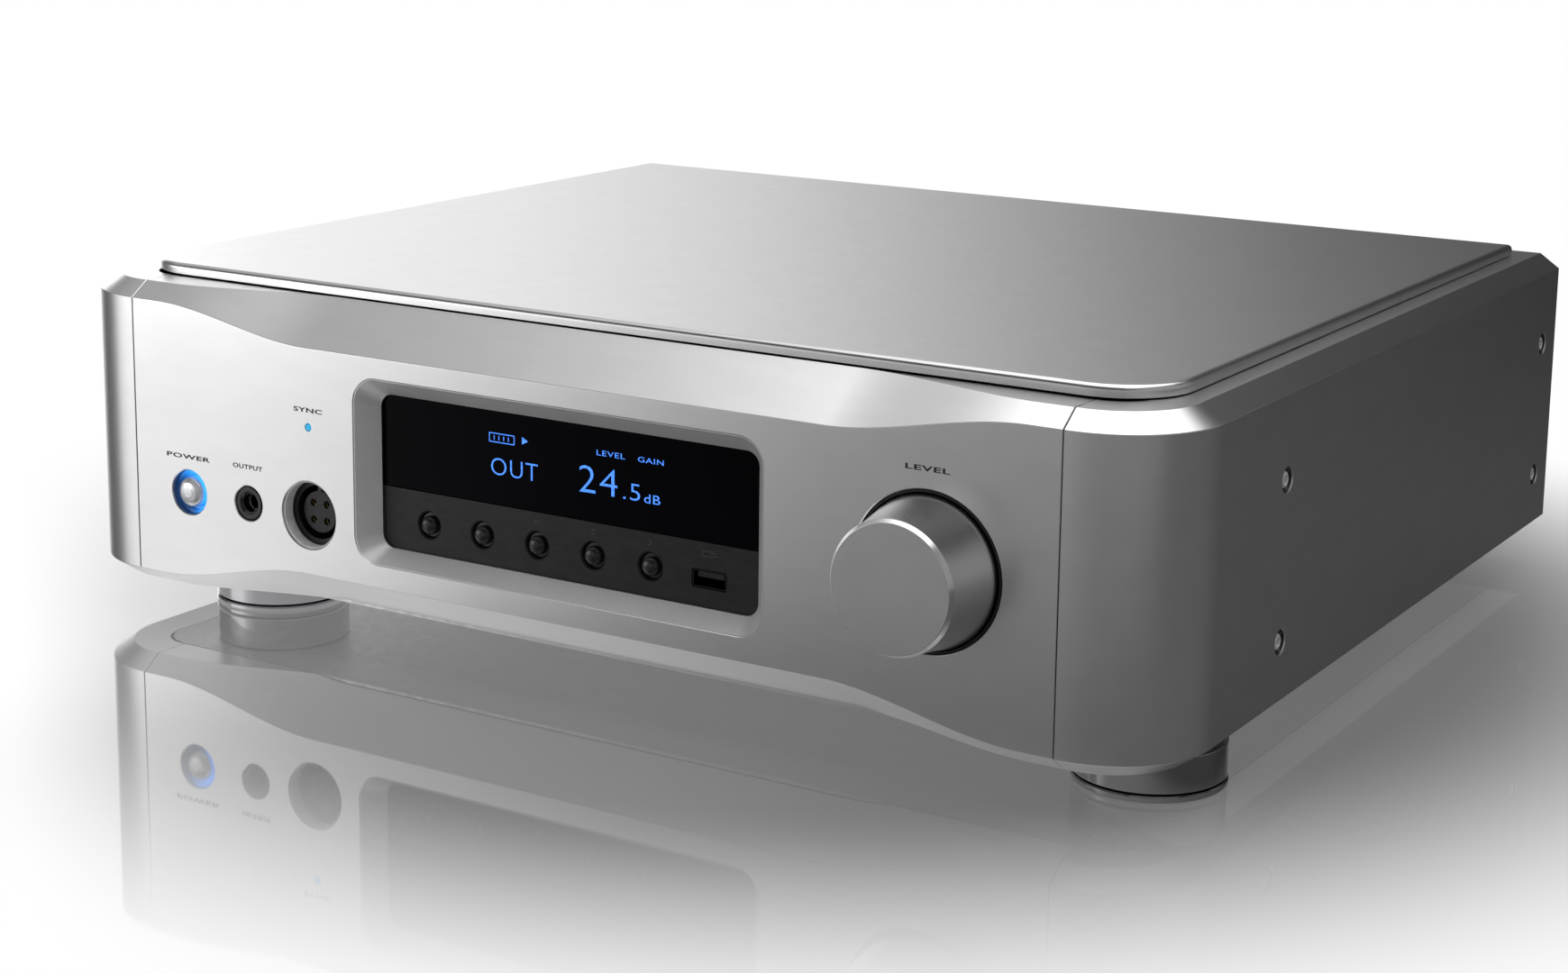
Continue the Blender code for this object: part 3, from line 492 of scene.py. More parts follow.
def piece(name, bm, material, nodes=(), body="chassis", cutters=(), sharp=32.0):
    """A finished piece: shaded, painted, riding on a body and standing for its CAD nodes."""
    obj = shape(name, bm, cutters)
    obj.data.shade_smooth()
    obj.data.set_sharp_from_angle(angle=math.radians(sharp))
    weigh = obj.modifiers.new("Normals", "WEIGHTED_NORMAL")
    weigh.keep_sharp = True
    weigh.weight = 80
    settle(obj)
    obj.data.materials.clear()
    obj.data.materials.append(material)
    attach(obj, body)
    if nodes:
        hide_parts(*([nodes] if isinstance(nodes, str) else nodes))
    return obj


# ---------------------------------------------------------------- case

CHAMFER_RISE = 5.4 * MM
CHAMFER_SLOPE = 0.7
CHAMFER_DEPTH = CHAMFER_RISE / CHAMFER_SLOPE
NARROW_FROM = 175.0 * MM
NARROW_TO = 105.0 * MM
NARROW_STATIONS = 40
FACE_LOW = CASE_BOTTOM + CHAMFER_RISE
FACE_HIGH = RIM_TOP - CHAMFER_RISE
FULL_SLOPE_DEPTH = PANEL_DEPTH - GAP
TOP_DROP = CHAMFER_SLOPE * FULL_SLOPE_DEPTH - CHAMFER_RISE
BOTTOM_LIFT = 10.5 * MM
CORNER_RADIUS = 34.5 * MM
CORNER_STEPS = 36
WEB = 10.0 * MM
FLANGE = 11.3 * MM
SOFT_EDGE = 0.45 * MM
SEAM_EDGE = 0.18 * MM

WINDOW_LOW, WINDOW_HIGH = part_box("display_window")
STRIP_LOW, STRIP_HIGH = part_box("button_panel")
POCKET_MARGIN = 3.4 * MM
OPENING_HALF = WINDOW_HIGH.x + GAP - POCKET_MARGIN
OPENING_Z = (STRIP_LOW.z - GAP + POCKET_MARGIN, WINDOW_HIGH.z + GAP - POCKET_MARGIN)
OPENING_CORNER = 5.0 * MM
RECESS_HALF = OPENING_HALF + 6.1 * MM
RECESS_Z = (OPENING_Z[0] - 4.5 * MM, OPENING_Z[1] + 6.4 * MM)
RECESS_CORNER = 9.5 * MM
RECESS_DEPTH = 8.0 * MM
POCKET_DEPTH = WINDOW_LOW.y - FACE_Y - GAP

KEYS = [f"menu_button_{number}" for number in range(1, 6)]
POWER = middle("power_light_ring")
PHONES = middle("headphone_jack")
BALANCED = middle("balanced_jack")
LAMP = middle("clock_lamp")
KNOB = middle("volume_knob")
USB = middle("usb_a_port")
# Radii and depths of the turned and drilled shapes, in millimetres
POWER_HOLE = 8.25
PHONES_HOLE = 6.4
BALANCED_HOLE = 12.2
LAMP_HOLE = 1.4
KNOB_SEAT = 25.9
KNOB_SEAT_DEPTH = 9.0
BUSHING_HOLE = 5.5
COUNTERBORE = 4.2
COUNTERBORE_DEPTH = 4.5
SCREW_HOLE = 2.4


def narrowing(x):
    """How far the face has narrowed at X: 0 at the ends, 1 over the middle, on a soft S between."""
    share = min(max((NARROW_FROM - abs(x)) / (NARROW_FROM - NARROW_TO), 0.0), 1.0)
    return share * share * (3.0 - 2.0 * share)


def panel_section(x, inset=0.0):
    """The front panel's section at X: a face between two sloping chamfers."""
    face_high = FACE_HIGH - TOP_DROP * narrowing(x)
    face_low = FACE_LOW + BOTTOM_LIFT * narrowing(x)
    top_depth = (RIM_TOP - face_high) / CHAMFER_SLOPE
    bottom_depth = min((face_low - CASE_BOTTOM) / CHAMFER_SLOPE, FULL_SLOPE_DEPTH)
    underside = face_low - CHAMFER_SLOPE * bottom_depth
    corners = [
        (inset, face_low + inset / 2, SOFT_EDGE),
        (inset, face_high - inset / 2, SOFT_EDGE),
        (top_depth + inset / 2, RIM_TOP - inset, SOFT_EDGE),
        (PANEL_DEPTH - inset, RIM_TOP - inset, GAP),
        (PANEL_DEPTH - inset, underside + inset, GAP),
        (bottom_depth + inset / 2, underside + inset, SOFT_EDGE),
    ]
    if top_depth + inset / 2 > PANEL_DEPTH - inset:
        corners[2] = (PANEL_DEPTH - inset, RIM_TOP - inset, 0.0)
    return [Vector((x, FACE_Y + depth, z)) for depth, z in rounded(corners, True, 3)]


def front_loop(low, high, radius, depth, inset=0.0, steps=10):
    """A rounded rectangle parallel to the front face, at a depth behind it."""
    outline = rounded_box(low, high, radius, steps, inset)
    return [Vector((x, FACE_Y + depth, z)) for x, z in outline]


def recess_cutter():
    """The sloping walls round the display, with a softened rim."""
    low = (-RECESS_HALF, RECESS_Z[0])
    high = (RECESS_HALF, RECESS_Z[1])
    edge = 0.6 * MM
    loops = [front_loop(low, high, RECESS_CORNER, -REACH, -edge * 2.2)]
    for share in (1.0, 0.6, 0.3, 0.1, 0.0):
        depth = edge * (1.0 - share) ** 2 - edge * 0.2
        loops.append(front_loop(low, high, RECESS_CORNER, depth, -edge * share))
    inner = ((-OPENING_HALF, OPENING_Z[0]), (OPENING_HALF, OPENING_Z[1]), OPENING_CORNER)
    loops.append(front_loop(*inner, RECESS_DEPTH - 0.2 * MM))
    loops.append(front_loop(*inner, RECESS_DEPTH + REACH))
    return loft(loops)


def recess_facing():
    """A thin skin over the sloping walls, blasted more finely than the face round them."""

    def ring(share, depth, inset):
        half = RECESS_HALF + (OPENING_HALF - RECESS_HALF) * share
        heights = [start + (stop - start) * share for start, stop in zip(RECESS_Z, OPENING_Z)]
        radius = RECESS_CORNER + (OPENING_CORNER - RECESS_CORNER) * share
        return front_loop((-half, heights[0]), (half, heights[1]), radius, depth, inset)

    proud, sunk = 0.05 * MM, -0.25 * MM
    start = 0.04
    mouth, back = start * RECESS_DEPTH, RECESS_DEPTH - 0.25 * MM
    corners = ((start, mouth, proud), (1.0, back, proud), (1.0, back, sunk), (start, mouth, sunk))
    loops = [ring(*corner) for corner in corners]
    bm = skin(bmesh.new(), loops + loops[:1], False)
    bmesh.ops.remove_doubles(bm, verts=bm.verts, dist=0.001 * MM)
    bmesh.ops.recalc_face_normals(bm, faces=bm.faces)
    piece("recess_facing", bm, FACING_METAL)


def pocket_cutter():
    """The room behind the opening, into which the glass and the key strip are set."""
    low = (-OPENING_HALF - POCKET_MARGIN, OPENING_Z[0] - POCKET_MARGIN)
    high = (OPENING_HALF + POCKET_MARGIN, OPENING_Z[1] + POCKET_MARGIN)
    depths = POCKET_DEPTH, PANEL_DEPTH + REACH
    return loft([front_loop(low, high, 0.2 * MM, depth) for depth in depths])


def front_panel():
    """The thick front, whose chamfers widen as its face narrows."""
    bend = [
        NARROW_TO + (NARROW_FROM - NARROW_TO) * step / NARROW_STATIONS
        for step in range(NARROW_STATIONS + 1)
    ]
    half = [0.0, 40.0 * MM, 80.0 * MM] + bend + [PANEL_HALF - SEAM_EDGE]
    stations = [-x for x in reversed(half[1:])] + half
    loops = [panel_section(x) for x in stations]
    loops.insert(0, panel_section(-PANEL_HALF, SEAM_EDGE))
    loops.append(panel_section(PANEL_HALF, SEAM_EDGE))
    through = (-PANEL_DEPTH - REACH) / MM
    cutters = [recess_cutter(), pocket_cutter()]
    for spot, radius, bottom, chamfer in (
        (POWER, POWER_HOLE, through, 0.35),
        (PHONES, PHONES_HOLE, through, 0.35),
        (BALANCED, BALANCED_HOLE, through, 0.35),
        (LAMP, LAMP_HOLE, through, 0.12),
        (KNOB, BUSHING_HOLE, through, 0.35),
        (KNOB, KNOB_SEAT, -KNOB_SEAT_DEPTH, 0.35),
    ):
        cutters.append(drill(radius, bottom, on_front(spot), chamfer))
    body = loft(loops)
    piece("front_plate", body, FRONT_METAL, "front_panel", cutters=cutters)
    recess_facing()


def channel_section(point, inward, inset=0.0):
    """The side channel's section at a point of its outer face: a web with two flanges."""
    corners = [
        (inset, FACE_LOW + inset / 2, SOFT_EDGE),
        (inset, FACE_HIGH - inset / 2, SOFT_EDGE),
        (CHAMFER_DEPTH + inset / 2, RIM_TOP - inset, SOFT_EDGE),
        (PANEL_DEPTH - inset, RIM_TOP - inset, GAP),
        (PANEL_DEPTH - inset, RIM_TOP - FLANGE + inset, GAP),
        (WEB - inset, RIM_TOP - FLANGE + inset, GAP),
        (WEB - inset, CASE_BOTTOM + FLANGE - inset, GAP),
        (PANEL_DEPTH - inset, CASE_BOTTOM + FLANGE - inset, GAP),
        (PANEL_DEPTH - inset, CASE_BOTTOM + inset, GAP),
        (CHAMFER_DEPTH + inset / 2, CASE_BOTTOM + inset, SOFT_EDGE),
    ]
    outline = rounded(corners, True, 3)
    return [Vector((*(point + inward * depth), z)) for depth, z in outline]


def screw_spots(side, word):
    """The middle of each screw on one side, at the panel's outer face."""
    spots = []
    for number in range(1, 5):
        spot = middle(f"side_screw_{word}_{number}")
        spots.append(Vector((side * HALF_WIDTH, spot.y, spot.z)))
    return spots


def side_panel(side, word):
    """A channel from the seam on the front, round the corner and on to the rear."""
    centre = Vector((side * (HALF_WIDTH - CORNER_RADIUS), FACE_Y + CORNER_RADIUS))
    front = Vector((0.0, -1.0))
    outward = Vector((side, 0.0))
    low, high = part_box(f"{word}_side_panel")
    seam_x = high.x if side < 0 else low.x
    loops = [channel_section(Vector((seam_x, FACE_Y)), -front, SEAM_EDGE)]
    loops.append(channel_section(Vector((seam_x + side * SEAM_EDGE, FACE_Y)), -front))
    for step in range(CORNER_STEPS + 1):
        angle = math.pi / 2 * step / CORNER_STEPS
        normal = front * math.cos(angle) + outward * math.sin(angle)
        loops.append(channel_section(centre + normal * CORNER_RADIUS, -normal))
    rear = Vector((side * HALF_WIDTH, REAR_Y))
    loops.append(channel_section(rear - Vector((0.0, SEAM_EDGE)), -outward))
    loops.append(channel_section(rear, -outward, SEAM_EDGE))
    cutters = []
    for spot in screw_spots(side, word):
        matrix = place(spot, (side, 0.0, 0.0))
        cutters.append(drill(COUNTERBORE, -COUNTERBORE_DEPTH, matrix, 0.3, 48))
        cutters.append(drill(SCREW_HOLE, (-WEB - REACH) / MM, matrix, 0.0, 24))
    name = f"{word}_cheek"
    piece(name, loft(loops), SIDE_METAL, f"{word}_side_panel", cutters=cutters)


def side_screws(side, word):
    """Socket head screws, each in a counterbore with a black ring on its wall, which is painted
    shade; the heads' near-white colour is a painted highlight.
    """
    top = -0.5
    bottom = -COUNTERBORE_DEPTH + GAP_MM
    radius = 2.9
    wall = COUNTERBORE - 0.05
    well = [
        (wall, -0.4, 0.1), (wall, bottom), (radius + 0.1, bottom), (radius + 0.1, -1.6, 0.1),
        (COUNTERBORE - 0.5, -0.4, 0.1),
    ]
    screw = [
        (0.0, top), (radius, top, 1.2), (radius, bottom, 0.1), (2.0, bottom), (2.0, -18.0, 0.4),
        (0.0, -18.0),
    ]
    funnel = [(0.0, REACH_MM), (2.3 + REACH_MM, REACH_MM), (1.3, top - 0.6), (0.0, top - 0.6)]
    across = 1.75 * MM
    hexagon = [(across * math.cos(TAU * k / 6), across * math.sin(TAU * k / 6)) for k in range(6)]
    for number, spot in enumerate(screw_spots(side, word), 1):
        matrix = place(spot, (side, 0.0, 0.0))
        socket = prism(lambda inset: hexagon, -2.9 * MM, REACH, matrix)
        mouth = lathe(funnel, matrix, 48)
        # The black ring is painted shade on the upper wall of the counterbore
        piece(f"{word}_screw_well_{number}", lathe(well, matrix, 48, True), BLACK)
        name, node = f"{word}_screw_{number}", f"side_screw_{word}_{number}"
        head = lathe(screw, matrix, 48)
        piece(name, head, SCREW_HIGHLIGHT_WHITE, node, cutters=[socket, mouth])


def top_plate():
    """A slab with large front corners and a rounded top edge."""
    low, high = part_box("top_plate")
    front_radius, rear_radius = 25.0 * MM, 1.5 * MM
    edge, steps = 2.0 * MM, 8

    def outline(inset):
        front = max(front_radius - inset, GAP)
        rear = max(rear_radius - inset, 0.05 * MM)
        left, right = low.x + inset, high.x - inset
        near, far = low.y + inset, high.y - inset
        corners = [(right, near, front), (right, far, rear), (left, far, rear), (left, near, front)]
        return rounded(corners, True, 24)

    loops = [[Vector((x, y, low.z)) for x, y in outline(0.4 * MM)]]
    loops.append([Vector((x, y, low.z + 0.3 * MM)) for x, y in outline(0.0)])
    for step in range(steps + 1):
        angle = math.pi / 2 * step / steps
        height = high.z - edge + edge * math.sin(angle)
        loops.append([Vector((x, y, height)) for x, y in outline(edge * (1.0 - math.cos(angle)))])
    piece("lid", loft(loops), TOP_METAL, "top_plate")


# ---------------------------------------------------------------- display and keys

# Turns a prism's own axes to X, Z and -Y, in place on the front
FORWARD = Matrix(((1, 0, 0, 0), (0, 0, -1, 0), (0, 1, 0, 0), (0, 0, 0, 1)))


def strip_hole_cutters():
    """One drill for each key."""
    cutters = []
    for key in KEYS:
        spot = middle(key)
        matrix = place((spot.x, STRIP_LOW.y, spot.z), (0.0, -1.0, 0.0))
        cutters.append(drill(4.75, -REACH_MM, matrix, 0.45, 64))
    return cutters


def plate(low, high, radius, edge=0.0):
    """A rounded plate that fills a box whose thickness is along Y."""
    corners = (low.x, low.z), (high.x, high.z)
    near, far = -low.y, -high.y
    return prism(lambda inset: rounded_box(*corners, radius, 4, inset), far, near, FORWARD, edge)


def display():
    """The glass, and under it the strip with its holes for the keys and the port."""
    glass = plate(WINDOW_LOW, WINDOW_HIGH, 0.8 * MM, 0.15 * MM)
    piece("display_glass", glass, GLASS, "display_window")
    half = Vector((6.8 * MM, STRIP_HIGH.y - STRIP_LOW.y + REACH, 3.2 * MM))
    centre = Vector((USB.x, STRIP_LOW.y, USB.z))
    slot = plate(centre - Vector((half.x, REACH, half.z)), centre + half, 0.8 * MM)
    strip = plate(STRIP_LOW, STRIP_HIGH, 0.8 * MM, 0.15 * MM)
    cutters = strip_hole_cutters() + [slot]
    piece("key_strip", strip, STRIP, "button_panel", cutters=cutters)


def keys():
    """Stepped domes, each with a collar behind the strip and a stem to its switch."""
    profile = [
        (0.0, -7.1), (1.0, -7.18, 0.8), (2.2, -7.65, 1.2), (3.1, -8.5, 0.8), (3.3, -9.2, 0.4),
        (3.3, -10.4), (4.3, -10.4, 0.2), (4.3, -11.7), (5.4, -11.7, 0.2), (5.4, -12.5, 0.2),
        (1.5, -12.5), (1.5, -15.0, 0.2), (0.0, -15.0),
    ]
    for number, key in enumerate(KEYS, 1):
        cap = lathe(profile, on_front(middle(key)), 64)
        piece(f"key_cap_{number}", cap, KEY_BLACK, key, key)


def scaled(lines):
    """Lines of points given in millimetres."""
    return [[Vector(point) * MM for point in line] for line in lines]


def strokes(lines, width, matrix, thickness):
    """Flat marks drawn as short bars along lines of points, all in one mesh."""
    bm = bmesh.new()
    for line in lines:
        for start, end in zip(line, line[1:]):
            along = (end - start).normalized() * width / 2
            across = Vector((-along.y, along.x))
            first, last = start - along * 0.6, end + along * 0.6
            corners = [first - across, last - across, last + across, first + across]
            levels = 0.0, thickness
            skin(bm, [[Vector((*corner, height)) for corner in corners] for height in levels])
    bmesh.ops.recalc_face_normals(bm, faces=bm.faces)
    bmesh.ops.transform(bm, matrix=matrix, verts=bm.verts)
    return bm


def lettering(text, width, height, matrix, thickness, weight=0.0):
    """Raised letters that fill a width and a height, centred on the matrix."""
    curve = bpy.data.curves.new("letters", "FONT")
    curve.body = text
    curve.offset = weight
    curve.resolution_u = 3
    curve.space_character = 1.08
    guide = bpy.data.objects.new("letters", curve)
    bpy.context.scene.collection.objects.link(guide)
    bpy.context.view_layer.update()
    graph = bpy.context.evaluated_depsgraph_get()
    mesh = bpy.data.meshes.new_from_object(guide.evaluated_get(graph))
    bpy.data.objects.remove(guide, do_unlink=True)
    bm = bmesh.new()
    bm.from_mesh(mesh)
    bpy.data.meshes.remove(mesh)
    faces = bmesh.ops.extrude_face_region(bm, geom=bm.faces)["geom"]
    raised = [item for item in faces if isinstance(item, bmesh.types.BMVert)]
    left, right = min(v.co.x for v in bm.verts), max(v.co.x for v in bm.verts)
    bottom, top = min(v.co.y for v in bm.verts), max(v.co.y for v in bm.verts)
    scale = Vector((width / (right - left), height / (top - bottom)))
    for vertex in bm.verts:
        vertex.co.x = (vertex.co.x - (left + right) / 2) * scale.x
        vertex.co.y = (vertex.co.y - (bottom + top) / 2) * scale.y
        vertex.co.z = 0.0
    for vertex in raised:
        vertex.co.z = thickness
    bmesh.ops.recalc_face_normals(bm, faces=bm.faces)
    bmesh.ops.transform(bm, matrix=matrix, verts=bm.verts)
    return bm


def lit(name, bm):
    """A part of the reading, whose glow is too faint to tint what stands round it."""
    obj = piece(name, bm, READOUT)
    obj.visible_glossy = False
    obj.visible_diffuse = False


def readout():
    """A generic reading: an input word, a level in large figures and its unit."""
    thickness = 0.04 * MM

    def at(x, z):
        return upright(Vector((x * MM, 0.0, z * MM)), WINDOW_LOW.y - 0.02 * MM)

    # Name, text, X, Z, width, height and how much bolder than the font
    words = (
        ("reading_source", "OUT", -20.8, 78.5, 19.6, 6.0, -0.012),
        ("reading_level", "24", 13.8, 79.4, 15.4, 9.2, -0.012),
        ("reading_decimal", ".5", 27.2, 77.6, 6.8, 5.6, -0.01),
        ("reading_unit", "dB", 35.4, 76.2, 6.4, 3.0, 0.0),
        ("reading_left_word", "LEVEL", 18.9, 89.0, 11.4, 1.8, 0.0),
        ("reading_right_word", "GAIN", 34.8, 89.0, 10.2, 1.8, 0.0),
    )
    for name, text, x, z, width, height, weight in words:
        lit(name, lettering(text, width * MM, height * MM, at(x, z), thickness, weight))
    box = [(-5.2, -1.5), (5.2, -1.5), (5.2, 1.5), (-5.2, 1.5), (-5.2, -1.5)]
    bars = [[(x, -0.7), (x, 0.7)] for x in (-3.2, -1.2, 0.8, 2.8)]
    lit("reading_box", strokes(scaled([box] + bars), 0.32 * MM, at(-26.0, 88.4), thickness))
    triangle = [(-1.2, -1.3), (1.3, 0.0), (-1.2, 1.3)]
    levels = 0.0, thickness
    arrow = [[Vector((x * MM, z * MM, height)) for x, z in triangle] for height in levels]
    lit("reading_arrow", loft(arrow, at(-16.3, 88.8)))


def strip_marks():
    """Small printed signs: plain arrows over three keys and the outline of a plug over the port."""
    plug = [(-2.6, -0.9), (1.0, -0.9), (1.0, 0.9), (-2.6, 0.9), (-2.6, -0.9)]
    tip = [(1.0, -0.6), (2.8, -0.6), (2.8, 0.6), (1.0, 0.6)]
    signs = (
        ("key_sign_3", middle(KEYS[2]), 8.3, [[(-1.1, -0.7), (0.0, 0.7), (1.1, -0.7)]]),
        ("key_sign_4", middle(KEYS[3]), 8.3, [[(0.7, 1.0), (-0.7, 0.0), (0.7, -1.0)]]),
        ("key_sign_5", middle(KEYS[4]), 8.3, [[(-0.7, 1.0), (0.7, 0.0), (-0.7, -1.0)]]),
        ("stick_sign", USB, 8.6, [plug, tip]),
    )
    for name, spot, rise, lines in signs:
        matrix = upright(Vector((spot.x, 0.0, spot.z + rise * MM)), STRIP_LOW.y - PRINT_OFF)
        mark = strokes(scaled(lines), 0.3 * MM, matrix, 0.02 * MM)
        piece(name, mark, MARK_INK)


def usb_port():
    """A folded steel shell with a tongue inside."""
    low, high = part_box("usb_a_port")
    wall = Vector((0.4 * MM, 0.0, 0.4 * MM))
    shell = plate(low, high, 0.5 * MM, 0.1 * MM)
    mouth, floor = Vector((0.0, REACH, 0.0)), Vector((0.0, MM, 0.0))
    hollow = plate(low + wall - mouth, high - wall - floor, 0.3 * MM)
    piece("usb_shell", shell, DARK_STEEL, "usb_a_port", cutters=[hollow])

    def tongue(inset):
        corners = (USB.x - 5.2 * MM, USB.z + 0.2 * MM), (USB.x + 5.2 * MM, USB.z + 2.1 * MM)
        return rounded_box(*corners, 0.2 * MM, 3, inset)

    slab = prism(tongue, -high.y + 1.1 * MM, -low.y - 1.0 * MM, FORWARD, 0.2 * MM)
    piece("usb_tongue", slab, BLACK)


# ---------------------------------------------------------------- controls and sockets on the front


def power_control():
    """A domed cap in a ring of acrylic that is lit from inside."""
    outer, inner = POWER_HOLE - GAP_MM, 6.0
    ring = [
        (outer, -2.0, 0.15), (outer, -14.0), (inner, -14.0), (inner, -3.8, 0.1),
        (inner + 0.7, -3.7, 0.5), (outer - 1.1, -2.9, 0.8), (outer - 0.35, -2.05, 0.1),
    ]
    matrix = on_front(POWER)
    light = ring_light(POWER, outer * MM)
    collar = lathe(ring, matrix, 96, True)
    piece("power_ring", collar, light, "power_light_ring")
    cap = inner - 0.35
    key = [
        (0.0, 1.0), (cap * 0.3, 0.93, 1.5), (cap * 0.62, 0.55, 1.5), (cap * 0.88, -0.3, 1.0),
        (cap, -1.6, 0.7), (cap, -14.4), (7.0, -14.4, 0.2), (7.0, -15.4, 0.2),
        (2.0, -15.4), (2.0, -22.0, 0.3), (0.0, -22.0),
    ]
    button = lathe(key, matrix)
    piece("power_cap", button, CAP_METAL, "power_button", "power_button")


def headphone_socket():
    """A glossy bezel round the bore for a 6.3 mm plug, with a sprung contact inside."""
    body, bore = PHONES_HOLE - GAP_MM, 3.3
    profile = [
        (0.0, -33.0), (bore, -33.0), (bore, -1.1, 0.3), (bore + 0.5, -0.9, 0.2),
        (bore + 0.9, -0.35, 0.3), (body - 0.4, -0.3, 0.3), (body, -0.7, 0.2),
        (body, -38.0), (0.0, -38.0),
    ]
    matrix = on_front(PHONES)
    piece("phones_socket", lathe(profile, matrix), GLOSS_BLACK, "headphone_jack")
    spring = tube(bore - 0.5, bore - 0.05, -4.0, -7.0, matrix, 64, 0.1, 0.1)
    piece("phones_contact", spring, CHROME)


def balanced_socket():
    """An insert with four sleeves and a key, inside a round wall with a pale sleeve on it, whose
    whiteness is a painted reflection of the bright metal wall.
    """
    wall = BALANCED_HOLE - GAP_MM
    face = -6.0
    profile = [
        (0.0, face), (7.7, face, 0.4), (7.7, -17.0), (9.6, -17.0), (9.6, -5.2, 0.3),
        (wall, -5.2, 0.2), (wall, -24.0), (0.0, -24.0),
    ]
    matrix = on_front(BALANCED)
    cutters = []
    contacts = []
    for step in range(4):
        angle = math.radians(45.0 + 90.0 * step)
        offset = Vector((math.cos(angle) * 4.3, math.sin(angle) * 4.3, face)) * MM
        spot = matrix @ Matrix.Translation(offset)
        cutters.append(drill(1.25, -9.0, spot, 0.2, 32))
        contacts.append(tube(0.9, 1.2, -1.2, -8.9, spot, 24, 0.05))
    outer = BALANCED_HOLE - 0.05
    # The pale sleeve over the hole's wall is a painted reflection of the bright metal
    sheen_sleeve = [(outer, -0.5, 0.1), (outer, -4.9), (outer - 0.5, -4.9, 0.1), (outer - 0.5, -0.9, 0.1)]
    piece("balanced_bore_sheen", lathe(sheen_sleeve, matrix, 96, True), BORE_SHEEN)
    body = lathe(profile, matrix)
    piece("balanced_socket", body, INSERT_BLACK, "balanced_jack", cutters=cutters)
    piece("balanced_contacts", merged(*contacts), GOLD)
    key_outline = rounded_box((-0.9 * MM, 7.4 * MM), (0.9 * MM, 9.0 * MM), 0.3 * MM, 3)
    key = prism(lambda inset: key_outline, -16.8 * MM, face * MM, matrix)
    piece("balanced_key", key, INSERT_BLACK)


def clock_lamp():
    """A small lit lens, a little proud of the face."""
    lens = LAMP_HOLE - GAP_MM
    profile = [(0.0, 0.2), (0.6, 0.14, 0.4), (lens, -0.25, 0.3), (lens, -20.0), (0.0, -20.0)]
    bulb = lathe(profile, on_front(LAMP), 48)
    piece("status_lens", bulb, LAMP_GLOW, "clock_lamp")


def volume_control():
    """A turned knob that flares towards its foot, in a black well."""
    seat, floor = KNOB_SEAT - GAP_MM, GAP_MM - KNOB_SEAT_DEPTH
    ring = [
        (seat, -0.5, 0.15), (seat, floor), (8.0, floor), (8.0, floor + 1.2),
        (seat - 0.7, floor + 1.2), (seat - 0.7, -0.5, 0.15),
    ]
    matrix = on_front(KNOB)
    piece("knob_well", lathe(ring, matrix, 128, True), BLACK, "knob_seat_ring")
    low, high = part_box("volume_knob")
    front, base = (FACE_Y - low.y) / MM, (FACE_Y - high.y) / MM
    base_radius = (high.x - low.x) / 2 / MM
    face_radius, rim_radius = 20.3, 21.3
    bore, bore_end = 3.3, 14.3
    flare = 1.4
    shoulder = front - 1.6
    knob = [(0.0, front), (face_radius, front, 0.35), (rim_radius, shoulder, 0.5)]
    steps = 20
    for step in range(1, steps + 1):
        share = step / steps
        radius = rim_radius + (base_radius - rim_radius) * share ** flare
        knob.append((radius, shoulder * (1.0 - share)))
    knob += [(base_radius, base, 0.3), (bore, base), (bore, bore_end), (0.0, bore_end)]
    handle = lathe(knob, matrix, 160)
    piece("knob", handle, KNOB_METAL, "volume_knob", "volume_knob", sharp=38.0)


def labels(words, depth, facing, height, weight, ink):
    """Printed words, from rows of name, text, spot, rise above it and width in millimetres."""
    for name, text, spot, rise, width in words:
        matrix = upright(Vector((spot.x, 0.0, spot.z + rise * MM)), depth, facing)
        letters = lettering(text, width * MM, height, matrix, PRINT_THICKNESS, weight)
        piece(name, letters, ink)


def front_labels():
    """Plain words of function over the controls that they name."""
    words = (
        ("label_power", "POWER", POWER, 13.2, 21.0),
        ("label_output", "OUTPUT", PHONES, 13.4, 14.0),
        ("label_sync", "SYNC", LAMP, 6.1, 13.0),
        ("label_level", "LEVEL", KNOB, 32.4, 15.5),
    )
    labels(words, FACE_Y - PRINT_OFF, -1.0, 1.7 * MM, 0.022, INK)


# ---------------------------------------------------------------- feet and rear


def feet():
    """A polished drum on a thin disc under each corner."""
    for node in sorted(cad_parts):
        if not node.endswith("_foot"):
            continue
        low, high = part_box(node)
        spot = place((middle(node).x, middle(node).y, 0.0))
        radius, top, bottom = (high.x - low.x) / 2 / MM, high.z / MM, low.z / MM
        drum = [
            (0.0, top), (radius, top, 0.3), (radius, bottom + 0.6, 0.3),
            (radius - 0.6, bottom, 0.1), (0.0, bottom),
        ]
        piece(node + "_drum", lathe(drum, spot), FOOT_METAL, node)
        low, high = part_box(node + "_base")
        radius, top = (high.x - low.x) / 2 / MM, high.z / MM
        disc = [
            (0.0, top), (radius - 0.5, top, 0.1), (radius, top - 0.5, 0.2), (radius, 0.5, 0.3),
            (radius - 0.5, 0.0, 0.2), (0.0, 0.0),
        ]
        piece(node + "_disc", lathe(disc, spot), FOOT_METAL, node + "_base")


def rear_frame(node):
    """A matrix on the rear with X across, Y up and Z out, and the node's half size and depth."""
    low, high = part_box(node)
    half = (high - low) / 2
    return upright(middle(node), high.y, 1.0), half.x, half.z, high.y - low.y


def rear_rise(node):
    """How far a socket stands out of the rear, in millimetres."""
    return (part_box(node)[1].y - REAR_Y) / MM


def box_outline(half_x, half_z, radius, centre=(0.0, 0.0)):
    """The outline of a rounded rectangle, for prism()."""
    low = centre[0] - half_x, centre[1] - half_z
    high = centre[0] + half_x, centre[1] + half_z
    return lambda inset: rounded_box(low, high, radius, 4, inset)


